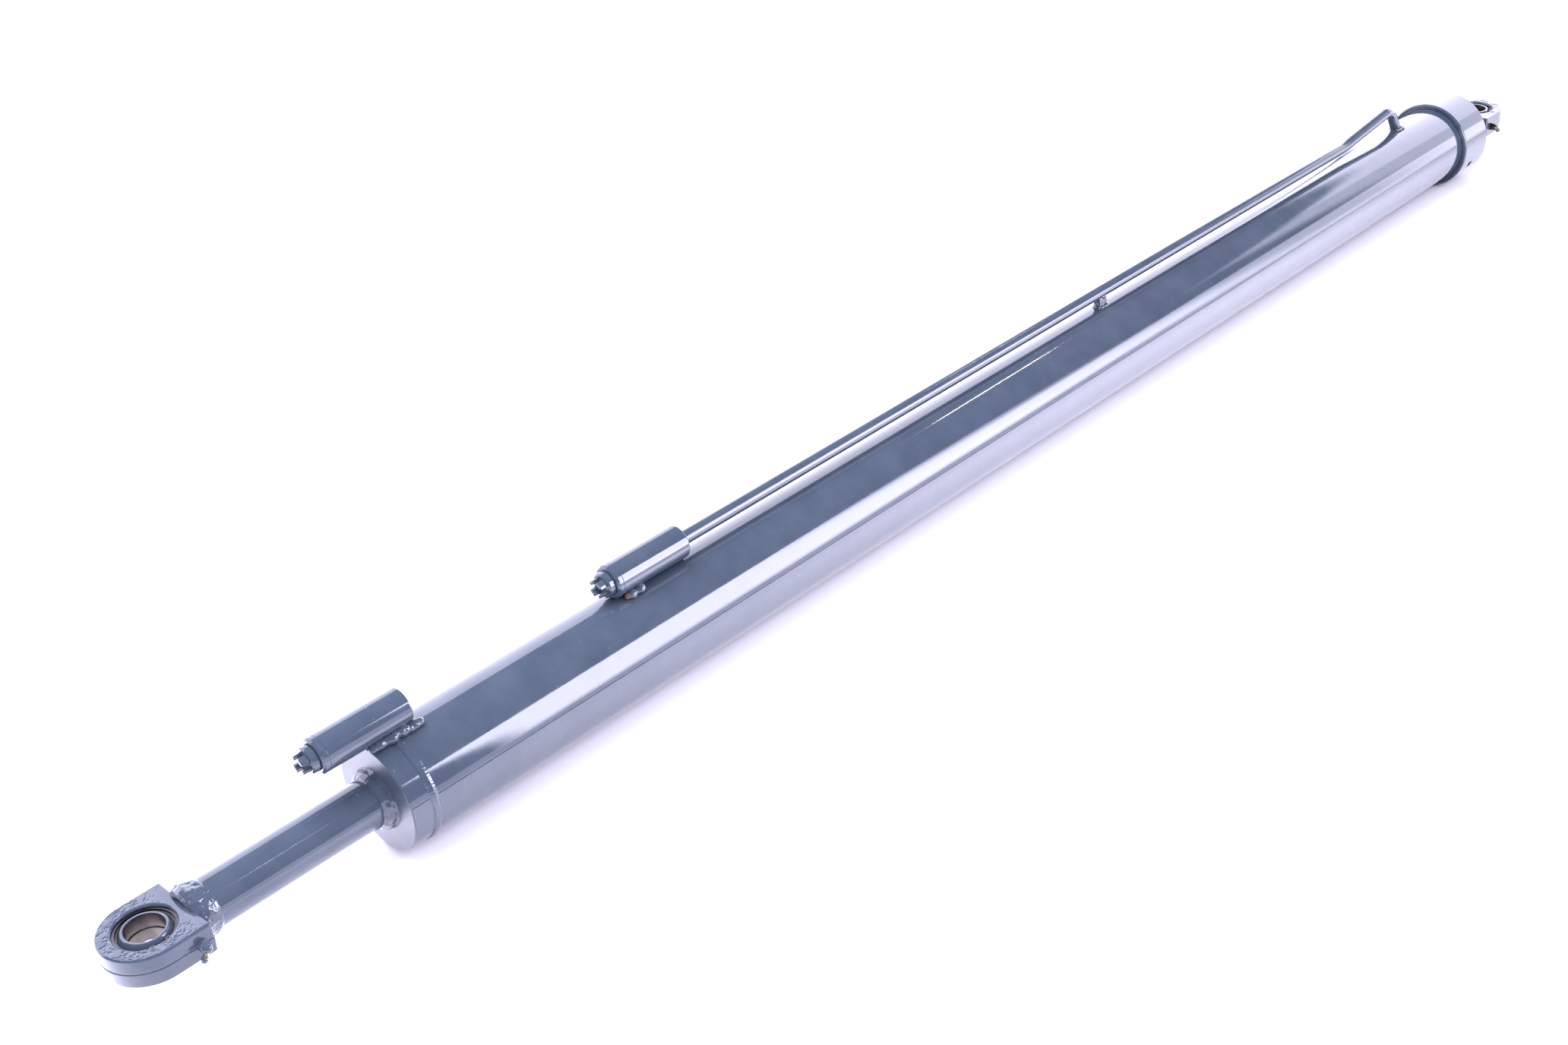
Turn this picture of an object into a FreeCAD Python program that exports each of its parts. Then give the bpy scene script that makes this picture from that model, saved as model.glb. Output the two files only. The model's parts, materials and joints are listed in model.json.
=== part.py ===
import FreeCAD, Part
import math
import os

# Double-acting hydraulic cylinder, shown fully retracted.
# Frame: origin at the centre of the base eye's bore, +X along the cylinder to
# the rod eye, +Z along both eye bores (up). Millimetres.

os.makedirs("parts", exist_ok=True)

V = FreeCAD.Vector
X_DIR = V(1, 0, 0)
Y_DIR = V(0, 1, 0)
Z_DIR = V(0, 0, 1)
ORIGIN = V(0, 0, 0)

# ---------------------------------------------------------------- driving sizes
STROKE = 1725.0
RUN_FIT = 0.05            # radial clearance where one piece runs on another
OPEN_GAP = 0.5            # radial gap where two moving pieces only pass each other

# eyes and their spherical plain bearings
PIN_R = 17.5              # 35 mm pin
BALL_R = 24.4
BALL_HALF = 14.0
RACE_R = 27.5             # 55 mm bearing seat
RACE_HALF = 10.0
EYE_R = 41.5
EYE_HALF = 15.0
FOOT_X = 39.0             # bore centre to the welded foot face
EYE_EDGE = 1.6
CIRCLIP_T = 2.0
CIRCLIP_SEAT_R = 29.0
CIRCLIP_IN_R = 25.0
SEAL_DEPTH = 2.0
SEAL_OUT_R = 25.4
SEAL_IN_R = 23.4
NIPPLE_X = 26.0           # nipple's distance from the bore centre, towards the foot

# extension tube and base cap
TUBE_R = 24.15
TUBE_IN_R = 16.15
CAP_X = 233.0
CAP_R = 54.25
CAP_SPIGOT = 6.0

# barrel
BARREL_X = 258.0
BARREL_END = 2184.0
BARREL_R = 55.0
BORE_R = 45.0
V_GROOVE = 4.5            # weld preparation between cap and barrel
WELD_PROUD = 1.2

# port housings, on a line slightly off the top of the barrel
PORT_ANGLE = 4.5          # degrees from +Z towards +Y
PORT_R = 18.0
PORT_DIST = 73.2          # barrel axis to housing axis, just clear of the barrel
PORT_SEAM = (191.0, 536.0)
PORT_LEN = 89.0
ADAPTER_LEN = 7.0
PORT_THREAD_R = 13.5      # adapter thread in the housing
HOSE_THREAD_R = 8.25      # hose thread in the adapter
OIL_R = 6.0
VALVE_OFFSET = 16.0       # seam to the front of the valve cartridge
VALVE_LEN = 30.0
VALVE_R = 11.0
VALVE_IN_R = 8.0
VALVE_SEAT = 14.0         # cartridge front to the seat's rear face
VALVE_GUIDE = 20.0        # cartridge front to the stem guide
VALVE_HEAD = 31.0         # cartridge front to the stem's head
SEAT_R = 5.0
STEM_R = 2.35
GALLERY_END = 86.0        # depth of the oil gallery behind the seam

# transfer pipe to the rod end
PIPE_R = 7.5
PIPE_IN_R = 6.0
PIPE_RISE_X = 1935.0
PIPE_TOP = (2066.0, 88.0)  # x and height above the barrel axis
PIPE_FOOT = (2087.0, 50.0)
PIPE_BEND_R = 21.0
CLIP_X = (1327.0, 1357.0)
CLIP_HALF = 6.5

# rod and piston
ROD_R = 25.0
TAIL_R = 19.0
TAIL_X = 265.0
NUT_X = 267.0
NUT_ACROSS = 60.0
PISTON_X = 286.0
PISTON_FACE = 346.0
PISTON_R = BORE_R - OPEN_GAP
WEAR_RINGS = ((291.0, 303.0), (329.0, 341.0))
WEAR_SEAT_R = BORE_R - 3.5
PISTON_SEAL = (311.0, 321.0)
SLIDE_RING_IN_R = BORE_R - 3.0
ENERGISER_IN_R = BORE_R - 7.5
TAIL_O_RING = (314.0, 317.0)
TAIL_O_RING_R = TAIL_R + 2.4
END_GAP = 0.1             # axial gap at each side of a ring in its groove
ROD_EYE_X = 2328.0

# gland
GLAND_X = 2180.0
GLAND_FACE = 2250.0
GLAND_R = 62.75
GLAND_NOSE_X = PISTON_FACE + STROKE + 1.0
GLAND_NOSE_R = 36.0
GLAND_BODY_X = 2110.0
GLAND_SKIRT = 5.0         # overlap of the gland's skirt round the barrel's end
GLAND_CHAMFER = 6.0
STATIC_SEAT = (2116.0, 2121.5)
STATIC_SPLIT = 2119.5
STATIC_SEAT_R = BORE_R - 3.2
GUIDES = ((2124.0, 2139.0), (2208.0, 2223.0))
GUIDE_SEAT_R = ROD_R + 3.0
ROD_SEAL = (2228.0, 2236.0)
WIPER = (2242.0, 2250.0)
SEAL_SEAT_R = ROD_R + 6.0
NOTCH_ANGLE = 115.0       # degrees from +Z towards -Y

port_y = PORT_DIST * math.sin(math.radians(PORT_ANGLE))
port_z = PORT_DIST * math.cos(math.radians(PORT_ANGLE))


# ---------------------------------------------------------------- helpers
def save(node, shape):
    """Write one sub-part as its own STEP file."""
    shape.exportStep("parts/" + node + ".step")


def rod(x0, x1, r, y=0.0, z=0.0):
    """Solid cylinder along X."""
    return Part.makeCylinder(r, x1 - x0, V(x0, y, z), X_DIR)


def ring(x0, x1, r_out, r_in, y=0.0, z=0.0):
    """Hollow cylinder along X."""
    return rod(x0, x1, r_out, y, z).cut(rod(x0 - 1, x1 + 1, r_in, y, z))


def turned(points, y=0.0, z=0.0):
    """Solid turned about an axis along X from (x, radius) points."""
    wire = Part.makePolygon([V(x, 0, r) for x, r in points + points[:1]])
    solid = Part.Face(wire).revolve(ORIGIN, X_DIR, 360)
    solid.translate(V(0, y, z))
    return solid


def upright(r, half, x=0.0):
    """Solid cylinder along Z, centred on the mid plane."""
    return Part.makeCylinder(r, 2 * half, V(x, 0, -half), Z_DIR)


def upright_ring(z0, z1, r_out, r_in, x=0.0):
    """Hollow cylinder along Z."""
    outer = Part.makeCylinder(r_out, z1 - z0, V(x, 0, z0), Z_DIR)
    return outer.cut(Part.makeCylinder(r_in, z1 - z0 + 2, V(x, 0, z0 - 1), Z_DIR))


def both_faces(piece):
    """A piece and its copy mirrored in the mid plane, as two solids."""
    return Part.makeCompound([piece, piece.mirror(ORIGIN, Z_DIR)])


def hexagon(across, length, base, direction):
    """Hexagonal prism standing on base."""
    corner = across / math.sqrt(3)
    angles = [math.radians(60 * i) for i in range(7)]
    wire = Part.makePolygon([V(corner * math.cos(a), corner * math.sin(a), 0) for a in angles])
    prism = Part.Face(wire).extrude(V(0, 0, length))
    prism.Placement = FreeCAD.Placement(base, FreeCAD.Rotation(Z_DIR, direction))
    return prism


def helix_spring(x0, x1, r, wire_r, turns, y, z):
    """Open coil spring along X."""
    coil = Part.makeHelix((x1 - x0 - 2 * wire_r) / turns, x1 - x0 - 2 * wire_r, r)
    start = coil.Edges[0].valueAt(coil.Edges[0].FirstParameter)
    section = Part.Wire(Part.makeCircle(wire_r, start, Y_DIR))
    spring = Part.Wire(coil).makePipeShell([section], True, True)
    spring.Placement = FreeCAD.Placement(V(x0 + wire_r, y, z), FreeCAD.Rotation(Z_DIR, X_DIR))
    return spring


# ---------------------------------------------------------------- eyes
def place(shape, x, side):
    """Put an eye piece at x; side 1 has its foot towards +X, side -1 towards -X."""
    out = shape.copy() if side > 0 else shape.mirror(ORIGIN, X_DIR)
    out.translate(V(x, 0, 0))
    return out


def eye_block():
    """Forged eye: round nose, straight cheeks and a flat rectangular foot."""
    nose = Part.makeCylinder(EYE_R, 2 * EYE_HALF, V(0, 0, -EYE_HALF), Z_DIR, 180)
    nose.rotate(ORIGIN, Z_DIR, 90)
    foot = Part.makeBox(FOOT_X, 2 * EYE_R, 2 * EYE_HALF, V(0, -EYE_R, -EYE_HALF))
    block = nose.fuse(foot).removeSplitter()
    rims = [e for e in block.Edges if abs(abs(e.CenterOfMass.z) - EYE_HALF) < 0.01]
    rims = [e for e in rims if e.CenterOfMass.x < FOOT_X - 0.5]
    return block.makeChamfer(EYE_EDGE, rims)


def eye_housing():
    """Eye block with its bearing seat, circlip grooves and grease drilling."""
    seat = upright(RACE_R, EYE_HALF + 1)
    groove = upright_ring(RACE_HALF, RACE_HALF + CIRCLIP_T + 0.1, CIRCLIP_SEAT_R, RACE_R - 1)
    mouth = Part.makeCone(RACE_R, RACE_R + 1.2, 1.2, V(0, 0, EYE_HALF - 1.2), Z_DIR)
    eye = eye_block().cut(seat)
    for cutter in (groove, mouth):
        eye = eye.cut(cutter).cut(cutter.mirror(ORIGIN, Z_DIR))
    tapped = Part.makeCylinder(4.0, 10.0, V(NIPPLE_X, -EYE_R - 1, 0), Y_DIR)
    inward = V(-NIPPLE_X, EYE_R - 9, 0)
    drilling = Part.makeCylinder(1.5, 22.0, V(NIPPLE_X, -EYE_R + 9, 0), inward)
    return eye.cut(tapped).cut(drilling)


def bearing_race():
    """Outer ring: spherical inside, with a recess for a lip seal at each face."""
    race = upright(RACE_R, RACE_HALF).cut(Part.makeSphere(BALL_R + RUN_FIT))
    recess = upright_ring(RACE_HALF - SEAL_DEPTH, RACE_HALF + 1, SEAL_OUT_R + RUN_FIT, 20.0)
    race = race.cut(recess).cut(recess.mirror(ORIGIN, Z_DIR))
    oil_hole = Part.makeCylinder(1.5, 8.0, V(0, 0, 0), V(NIPPLE_X - EYE_R, -20, 0))
    oil_hole.translate(V(12.0, -20.0, 0))
    return race.cut(oil_hole)


def bearing_ball():
    """Inner ring: a ball with two flat faces, the pin bore and oil grooves."""
    slab = upright(BALL_R + 1, BALL_HALF)
    ball = Part.makeSphere(BALL_R).common(slab).cut(upright(PIN_R, BALL_HALF + 1))
    inner_groove = upright_ring(-1.8, 1.8, PIN_R + 0.9, PIN_R - 1)
    outer_groove = upright_ring(-1.8, 1.8, BALL_R + 1, BALL_R - 0.9)
    oil_hole = Part.makeCylinder(1.5, 2 * BALL_R + 2, V(0, -BALL_R - 1, 0), Y_DIR)
    return ball.cut(inner_groove).cut(outer_groove).cut(oil_hole)


def bearing_seal():
    """Lip seals running beside the ball, one at each face."""
    lip = upright_ring(RACE_HALF - SEAL_DEPTH + 0.05, RACE_HALF - 0.05, SEAL_OUT_R, SEAL_IN_R)
    return both_faces(lip)


def circlips():
    """Internal retaining rings: an open ring with a drilled ear at each end, at -Y."""
    top = RACE_HALF + CIRCLIP_T
    body = upright_ring(RACE_HALF, top, CIRCLIP_SEAT_R - 0.2, CIRCLIP_IN_R)
    clip = body.cut(Part.makeBox(12, 20, 20, V(-6, -40, 0)))
    for side in (-1, 1):
        ear = Part.makeCylinder(2.6, CIRCLIP_T, V(side * 7.6, -24.4, RACE_HALF), Z_DIR)
        hole = Part.makeCylinder(1.1, CIRCLIP_T + 2, V(side * 7.6, -24.4, RACE_HALF - 1), Z_DIR)
        clip = clip.fuse(ear).cut(hole)
    return both_faces(clip.removeSplitter())


def grease_nipple():
    """Angled nipple: threaded stem, hexagon, and a head pointing down the side."""
    root = V(NIPPLE_X, -EYE_R, 0)
    stem = Part.makeCylinder(4.0, 8.0, root, Y_DIR)
    hexa = hexagon(9.0, 6.5, root, V(0, -1, 0))
    elbow = V(NIPPLE_X, -EYE_R - 6.5, 0)
    aim = V(-0.66, -0.34, -0.67)
    aim.normalize()
    knuckle = Part.makeSphere(4.4, elbow)
    neck = Part.makeCylinder(2.4, 9.0, elbow, aim)
    head = Part.makeCone(3.4, 3.1, 3.4, elbow + aim * 6.6, aim)
    tip = Part.makeCone(3.1, 1.6, 2.2, elbow + aim * 10.0, aim)
    passage = Part.makeCylinder(1.0, 40.0, elbow, aim)
    feed = Part.makeCylinder(1.0, 16.0, elbow, Y_DIR)
    shape = stem.fuse([hexa, knuckle, neck, head, tip]).removeSplitter()
    return shape.cut(passage).cut(feed)


def eye_weld(r_shaft, r_inside):
    """Weld that wraps the shaft's end and laps over the foot of an eye."""
    outline = [(33.0, r_inside), (33.0, 19.0), (36.0, 25.0), (40.0, 29.5), (46.0, 29.0),
               (55.0, r_shaft + 0.3), (55.0, r_inside)]
    weld = turned(outline).cut(rod(FOOT_X, 60.0, r_shaft))
    return weld.cut(eye_block())


# ---------------------------------------------------------------- ports
def port_x(index, offset):
    """Distance along X, measured from a housing's front seam."""
    return PORT_SEAM[index] + offset


def housing_blank(index):
    """Round bar with its rear edge bevelled."""
    x0 = port_x(index, 0)
    return turned([(x0, 0), (x0, PORT_R), (x0 + PORT_LEN - 1.5, PORT_R),
                   (x0 + PORT_LEN, PORT_R - 1.5), (x0 + PORT_LEN, 0)], port_y, port_z)


def front_bore(index):
    """Threaded front bore and the narrower chamber behind it."""
    x0 = port_x(index, 0)
    thread = rod(x0 - 1, x0 + 16, PORT_THREAD_R, port_y, port_z)
    chamber = rod(x0, x0 + 52, VALVE_R, port_y, port_z)
    gallery = rod(x0, x0 + GALLERY_END, OIL_R, port_y, port_z)
    return thread.fuse([chamber, gallery])


def radial_hole(index, r):
    """Hole from the barrel's axis out to the housing's gallery."""
    x = port_x(index, GALLERY_END - r - 1)
    return Part.makeCylinder(r, PORT_DIST, V(x, 0, 0), V(0, port_y, port_z))


def adapter(index):
    """Screwed reducer: a flange as wide as the housing and a threaded shank."""
    x0 = port_x(index, 0)
    front = x0 - ADAPTER_LEN
    outline = [(front, 0), (front, PORT_R - 2.2), (front + 2.2, PORT_R), (x0, PORT_R),
               (x0, PORT_THREAD_R), (x0 + 14, PORT_THREAD_R), (x0 + 15, PORT_THREAD_R - 1),
               (x0 + 15, 0)]
    body = turned(outline, port_y, port_z)
    groove = ring(x0 - 2.0, x0 + 0.5, 16.4, PORT_THREAD_R - 0.5, port_y, port_z)
    return body.cut(rod(front - 1, x0 + 20, HOSE_THREAD_R, port_y, port_z)).cut(groove)


def adapter_seal(index):
    """Square-section seal held in the adapter's face groove."""
    x0 = port_x(index, 0)
    return ring(x0 - 2.0, x0, 16.4, PORT_THREAD_R + 0.05, port_y, port_z)


def port_plug(index):
    """Plastic transport plug: threaded shank, flange and a castellated crown."""
    front = port_x(index, -ADAPTER_LEN)
    face = front - 2.4
    shank = rod(face, front + 13, HOSE_THREAD_R - 0.05, port_y, port_z)
    flange = turned([(face - 5.2, 0), (face - 5.2, 11.6), (face - 3.6, 13.2),
                     (face, 13.2), (face, 0)], port_y, port_z)
    crown = ring(face - 13.0, face - 5.2, 9.8, 5.6, port_y, port_z)
    slots = [Part.makeBox(9.0, 5.2, 24.0, V(face - 14.2, port_y - 2.6, port_z - 12)),
             Part.makeBox(9.0, 24.0, 5.2, V(face - 14.2, port_y - 12, port_z - 2.6))]
    crown = crown.cut(slots)
    socket = Part.makeBox(6.0, 7.0, 7.0, V(face - 6.0, port_y - 3.5, port_z - 3.5))
    return shank.fuse([flange, crown]).removeSplitter().cut(socket)


def valve_body(index):
    """Hose-burst valve cartridge: a sleeve with a seat in front and a stem guide."""
    x0 = port_x(index, VALVE_OFFSET)
    guide_x = x0 + VALVE_GUIDE
    sleeve = ring(x0, x0 + VALVE_LEN, VALVE_R, VALVE_IN_R, port_y, port_z)
    seat = ring(x0, x0 + VALVE_SEAT, VALVE_IN_R, SEAT_R, port_y, port_z)
    guide = ring(guide_x, guide_x + 3, VALVE_IN_R, STEM_R + RUN_FIT, port_y, port_z)
    slots = [Part.makeBox(5, 4.0, 4.6, V(guide_x - 1, port_y - 2, port_z + 3.2)),
             Part.makeBox(5, 4.0, 4.6, V(guide_x - 1, port_y - 2, port_z - 7.8))]
    return sleeve.fuse([seat, guide.cut(slots)]).removeSplitter()


def valve_poppet(index):
    """Poppet resting on the guide; it closes towards -X. Its stem ends in a head."""
    x0 = port_x(index, VALVE_OFFSET)
    disc_x = x0 + VALVE_GUIDE
    seat_x = x0 + VALVE_SEAT
    head_x = x0 + VALVE_HEAD
    return turned([(seat_x + 0.9, 0), (seat_x + 0.9, SEAT_R - 0.8), (seat_x + 1.9, SEAT_R + 0.2),
                   (seat_x + 1.9, SEAT_R + 1.4), (disc_x, SEAT_R + 1.4), (disc_x, STEM_R),
                   (head_x, STEM_R), (head_x, 4.5), (head_x + 3, 4.5), (head_x + 3, 0)],
                  port_y, port_z)


def valve_spring(index):
    """Spring between the guide and the stem's head; it holds the valve open."""
    x0 = port_x(index, VALVE_OFFSET)
    start = x0 + VALVE_GUIDE + 3.05
    return helix_spring(start, x0 + VALVE_HEAD - 0.05, 3.6, 0.45, 5.0, port_y, port_z)


def crevice_weld(x0, x1, side):
    """Fillet bead in the crevice between a housing and the barrel."""
    bead = rod(x0, x1, 5.6, 13.2 * side, 0.0)
    bead.translate(V(0, 0, PORT_DIST - 16.2))
    bead.rotate(ORIGIN, X_DIR, -PORT_ANGLE)
    return bead


def housing_weld(index, x0, x1):
    """The two fillet beads of one housing, trimmed to the pieces they join."""
    parts = []
    for side in (-1, 1):
        bead = crevice_weld(x0, x1, side)
        bead = bead.cut(rod(port_x(index, -5), port_x(index, PORT_LEN), PORT_R, port_y, port_z))
        bead = bead.cut(rod(CAP_X, BARREL_X, CAP_R))
        parts.append(bead.cut(rod(BARREL_X, BARREL_END, BARREL_R)))
    return parts


# ---------------------------------------------------------------- pipe
def plane_point(x, height):
    """Point in the plane of the barrel's axis and the port line."""
    angle = math.radians(PORT_ANGLE)
    return V(x, height * math.sin(angle), height * math.cos(angle))


def corner_arc(before, corner, after, radius):
    """Tangent arc that rounds a corner: its start, middle and end points."""
    to_start = (before - corner).normalize()
    to_end = (after - corner).normalize()
    half = to_start.getAngle(to_end) / 2
    setback = radius / math.tan(half)
    bisector = (to_start + to_end).normalize()
    middle = corner + bisector * (radius / math.sin(half) - radius)
    return corner + to_start * setback, middle, corner + to_end * setback


def pipe_path():
    """Centre line: along the barrel, a shallow rise, then down into the wall."""
    start = plane_point(port_x(1, PORT_LEN - 12), PORT_DIST)
    rise = plane_point(PIPE_RISE_X, PORT_DIST)
    top = plane_point(*PIPE_TOP)
    foot = plane_point(*PIPE_FOOT)
    gentle = corner_arc(start, rise, top, 10 * PIPE_BEND_R)
    tight = corner_arc(rise, top, foot, PIPE_BEND_R)
    edges = [Part.LineSegment(start, gentle[0]).toShape(),
             Part.Arc(*gentle).toShape(),
             Part.LineSegment(gentle[2], tight[0]).toShape(),
             Part.Arc(*tight).toShape(),
             Part.LineSegment(tight[2], foot).toShape()]
    return Part.Wire(edges), start, top, foot


def pipe_solid(radius):
    """The pipe's path swept with a round section."""
    path, start, _, _ = pipe_path()
    section = Part.Wire(Part.makeCircle(radius, start, X_DIR))
    return path.makePipeShell([section], True, False)


def pipe_leg(radius, before, after):
    """Cylinder on the pipe's last straight leg, from before to after its foot."""
    _, _, top, foot = pipe_path()
    down = (foot - top).normalize()
    return Part.makeCylinder(radius, before + after, foot - down * before, down)


def pipe_weld():
    """Bead round the pipe where it enters the barrel."""
    _, _, top, foot = pipe_path()
    down = (foot - top).normalize()
    bead = Part.makeCone(PIPE_R + 0.4, PIPE_R + 6.0, 11.0, foot - down * 12.5, down)
    return bead.cut(pipe_leg(PIPE_R, 16.0, 4.0)).cut(rod(GLAND_NOSE_X - 50, BARREL_END, BARREL_R))


# ---------------------------------------------------------------- build: base end
eye = eye_housing()
race = bearing_race()
ball = bearing_ball()
seals = bearing_seal()
rings = circlips()
nipple = grease_nipple()
for end, x, side in (("base", 0.0, 1), ("rod", ROD_EYE_X, -1)):
    save(end + "_eye", place(eye, x, side))
    save(end + "_bearing_race", place(race, x, side))
    save(end + "_bearing_ball", place(ball, x, side))
    save(end + "_bearing_seals", place(seals, x, side))
    save(end + "_bearing_circlips", place(rings, x, side))
    save(end + "_grease_nipple", place(nipple, x, side))
save("base_eye_weld", place(eye_weld(TUBE_R, TUBE_IN_R), 0.0, 1))
save("rod_eye_weld", place(eye_weld(ROD_R, TUBE_IN_R), ROD_EYE_X, -1))

save("extension_tube", ring(FOOT_X, CAP_X, TUBE_R, TUBE_IN_R))
cap_fillet = turned([(CAP_X - 7.5, TUBE_R), (CAP_X - 5, TUBE_R + 3.2),
                     (CAP_X, TUBE_R + 6), (CAP_X, TUBE_R)])
save("extension_tube_weld", cap_fillet)

groove_cut = turned([(BARREL_X - V_GROOVE, BARREL_R + 1), (BARREL_X - V_GROOVE, CAP_R),
                     (BARREL_X, CAP_R - V_GROOVE), (BARREL_X + V_GROOVE, BARREL_R),
                     (BARREL_X + V_GROOVE, BARREL_R + 1)])
cap = turned([(CAP_X, 0), (CAP_X, CAP_R - 1), (CAP_X + 1, CAP_R), (BARREL_X, CAP_R),
              (BARREL_X, BORE_R), (BARREL_X + CAP_SPIGOT - 1, BORE_R),
              (BARREL_X + CAP_SPIGOT, BORE_R - 1), (BARREL_X + CAP_SPIGOT, 0)])
save("base_cap", cap.cut(groove_cut))
seam_weld = turned([(BARREL_X - V_GROOVE, CAP_R), (BARREL_X, CAP_R - V_GROOVE),
                    (BARREL_X + V_GROOVE, BARREL_R),
                    (BARREL_X + V_GROOVE - 2, BARREL_R + WELD_PROUD),
                    (BARREL_X - V_GROOVE + 2, BARREL_R + WELD_PROUD)])

# ---------------------------------------------------------------- build: ports
for index, end in enumerate(("base", "rod")):
    housing = housing_blank(index).cut(front_bore(index))
    if index == 0:
        housing = housing.cut(radial_hole(0, OIL_R - 1))
    else:
        socket = rod(port_x(1, PORT_LEN - 12), port_x(1, PORT_LEN + 1), PIPE_R, port_y, port_z)
        housing = housing.cut(socket)
    save(end + "_port_housing", housing)
    save(end + "_port_adapter", adapter(index))
    save(end + "_port_seal", adapter_seal(index))
    save(end + "_port_plug", port_plug(index))
    save(end + "_valve_body", valve_body(index))
    save(end + "_valve_poppet", valve_poppet(index))
    save(end + "_valve_spring", valve_spring(index))
base_beads = housing_weld(0, CAP_X + 1, port_x(0, PORT_LEN + 3))
seam_weld = seam_weld.cut(Part.makeCompound(base_beads))
seam_weld = seam_weld.cut(rod(CAP_X, port_x(0, PORT_LEN), PORT_R, port_y, port_z))
save("base_cap_weld", seam_weld)
save("base_port_weld", Part.makeCompound(base_beads))
save("rod_port_weld", Part.makeCompound(housing_weld(1, port_x(1, 2), port_x(1, 24))))

# ---------------------------------------------------------------- build: barrel
barrel = ring(BARREL_X, BARREL_END, BARREL_R, BORE_R).cut(groove_cut)
barrel = barrel.cut(radial_hole(0, OIL_R - 1))
barrel = barrel.cut(pipe_leg(PIPE_R, 16.0, 0.0)).cut(pipe_leg(PIPE_IN_R, 1.0, 16.0))
save("barrel", barrel)
save("transfer_pipe", pipe_solid(PIPE_R).cut(pipe_solid(PIPE_IN_R)))
save("transfer_pipe_weld", pipe_weld())
clip = Part.makeBox(CLIP_X[1] - CLIP_X[0], 2 * CLIP_HALF, PORT_DIST - 45,
                    V(CLIP_X[0], -CLIP_HALF, 45))
clip.rotate(ORIGIN, X_DIR, -PORT_ANGLE)
clip = clip.cut(rod(CLIP_X[0] - 1, CLIP_X[1] + 1, BARREL_R))
save("pipe_clip", clip.cut(rod(CLIP_X[0] - 1, CLIP_X[1] + 1, PIPE_R, port_y, port_z)))

# ---------------------------------------------------------------- build: gland
gland = turned([(GLAND_NOSE_X, ROD_R + OPEN_GAP), (GLAND_NOSE_X, GLAND_NOSE_R),
                (GLAND_BODY_X, GLAND_NOSE_R), (GLAND_BODY_X, BORE_R),
                (BARREL_END, BORE_R), (BARREL_END, BARREL_R),
                (BARREL_END - GLAND_SKIRT + 1, BARREL_R),
                (BARREL_END - GLAND_SKIRT + 1, BARREL_R + OPEN_GAP),
                (GLAND_X, BARREL_R + OPEN_GAP), (GLAND_X, GLAND_R - 1),
                (GLAND_X + 1, GLAND_R), (GLAND_FACE - GLAND_CHAMFER, GLAND_R),
                (GLAND_FACE, GLAND_R - GLAND_CHAMFER), (GLAND_FACE, ROD_R + OPEN_GAP)])
for x0, x1 in GUIDES:
    gland = gland.cut(ring(x0, x1, GUIDE_SEAT_R, ROD_R))
for x0, x1 in (ROD_SEAL, WIPER):
    gland = gland.cut(ring(x0, x1, SEAL_SEAT_R, ROD_R))
gland = gland.cut(ring(STATIC_SEAT[0], STATIC_SEAT[1], BORE_R + 1, STATIC_SEAT_R))
for turn in (0, 180):
    notch = Part.makeBox(10, 9, 12, V(GLAND_X + 22, -4.5, GLAND_R - 5))
    notch.rotate(ORIGIN, X_DIR, NOTCH_ANGLE + turn)
    gland = gland.cut(notch)
save("gland", gland)
save("gland_o_ring", ring(STATIC_SEAT[0], STATIC_SPLIT, BORE_R, STATIC_SEAT_R))
save("gland_backup_ring", ring(STATIC_SPLIT, STATIC_SEAT[1], BORE_R, STATIC_SEAT_R))
guides = [ring(x0, x1, GUIDE_SEAT_R, ROD_R + RUN_FIT) for x0, x1 in GUIDES]
save("rod_guide_rings", Part.makeCompound(guides))
save("rod_seal", turned([(ROD_SEAL[0], SEAL_SEAT_R), (ROD_SEAL[1], SEAL_SEAT_R),
                         (ROD_SEAL[1], ROD_R + RUN_FIT), (ROD_SEAL[0] + 2, ROD_R + RUN_FIT),
                         (ROD_SEAL[0], ROD_R + 1.5), (ROD_SEAL[0] + 3, ROD_R + 3.0),
                         (ROD_SEAL[0], ROD_R + 4.5)]))
save("rod_wiper", turned([(WIPER[0], SEAL_SEAT_R), (WIPER[1], SEAL_SEAT_R),
                          (WIPER[1] + 1.5, ROD_R + 1.2), (WIPER[1] + 1.5, ROD_R + RUN_FIT),
                          (WIPER[1] - 2, ROD_R + RUN_FIT), (WIPER[0], ROD_R + 2.0)]))

# ---------------------------------------------------------------- build: rod and piston
rod_foot = ROD_EYE_X - FOOT_X
save("piston_rod", turned([(TAIL_X, 0), (TAIL_X, TAIL_R - 1.5), (TAIL_X + 1.5, TAIL_R),
                           (PISTON_FACE, TAIL_R), (PISTON_FACE, ROD_R),
                           (rod_foot, ROD_R), (rod_foot, 0)]))
nut = hexagon(NUT_ACROSS, PISTON_X - NUT_X, V(NUT_X, 0, 0), X_DIR)
save("piston_nut", nut.cut(rod(NUT_X - 1, PISTON_X + 1, TAIL_R)))
piston = ring(PISTON_X, PISTON_FACE, PISTON_R, TAIL_R)
for x0, x1 in WEAR_RINGS:
    piston = piston.cut(ring(x0, x1, BORE_R, WEAR_SEAT_R))
piston = piston.cut(ring(PISTON_SEAL[0], PISTON_SEAL[1], BORE_R, ENERGISER_IN_R - 0.3))
piston = piston.cut(ring(TAIL_O_RING[0], TAIL_O_RING[1], TAIL_O_RING_R, TAIL_R - 1))
save("piston", piston)
save("piston_o_ring", ring(TAIL_O_RING[0], TAIL_O_RING[1], TAIL_O_RING_R, TAIL_R))
bands = [ring(x0 + END_GAP, x1 - END_GAP, BORE_R - RUN_FIT, WEAR_SEAT_R + 0.3)
         for x0, x1 in WEAR_RINGS]
save("piston_wear_rings", Part.makeCompound(bands))
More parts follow.
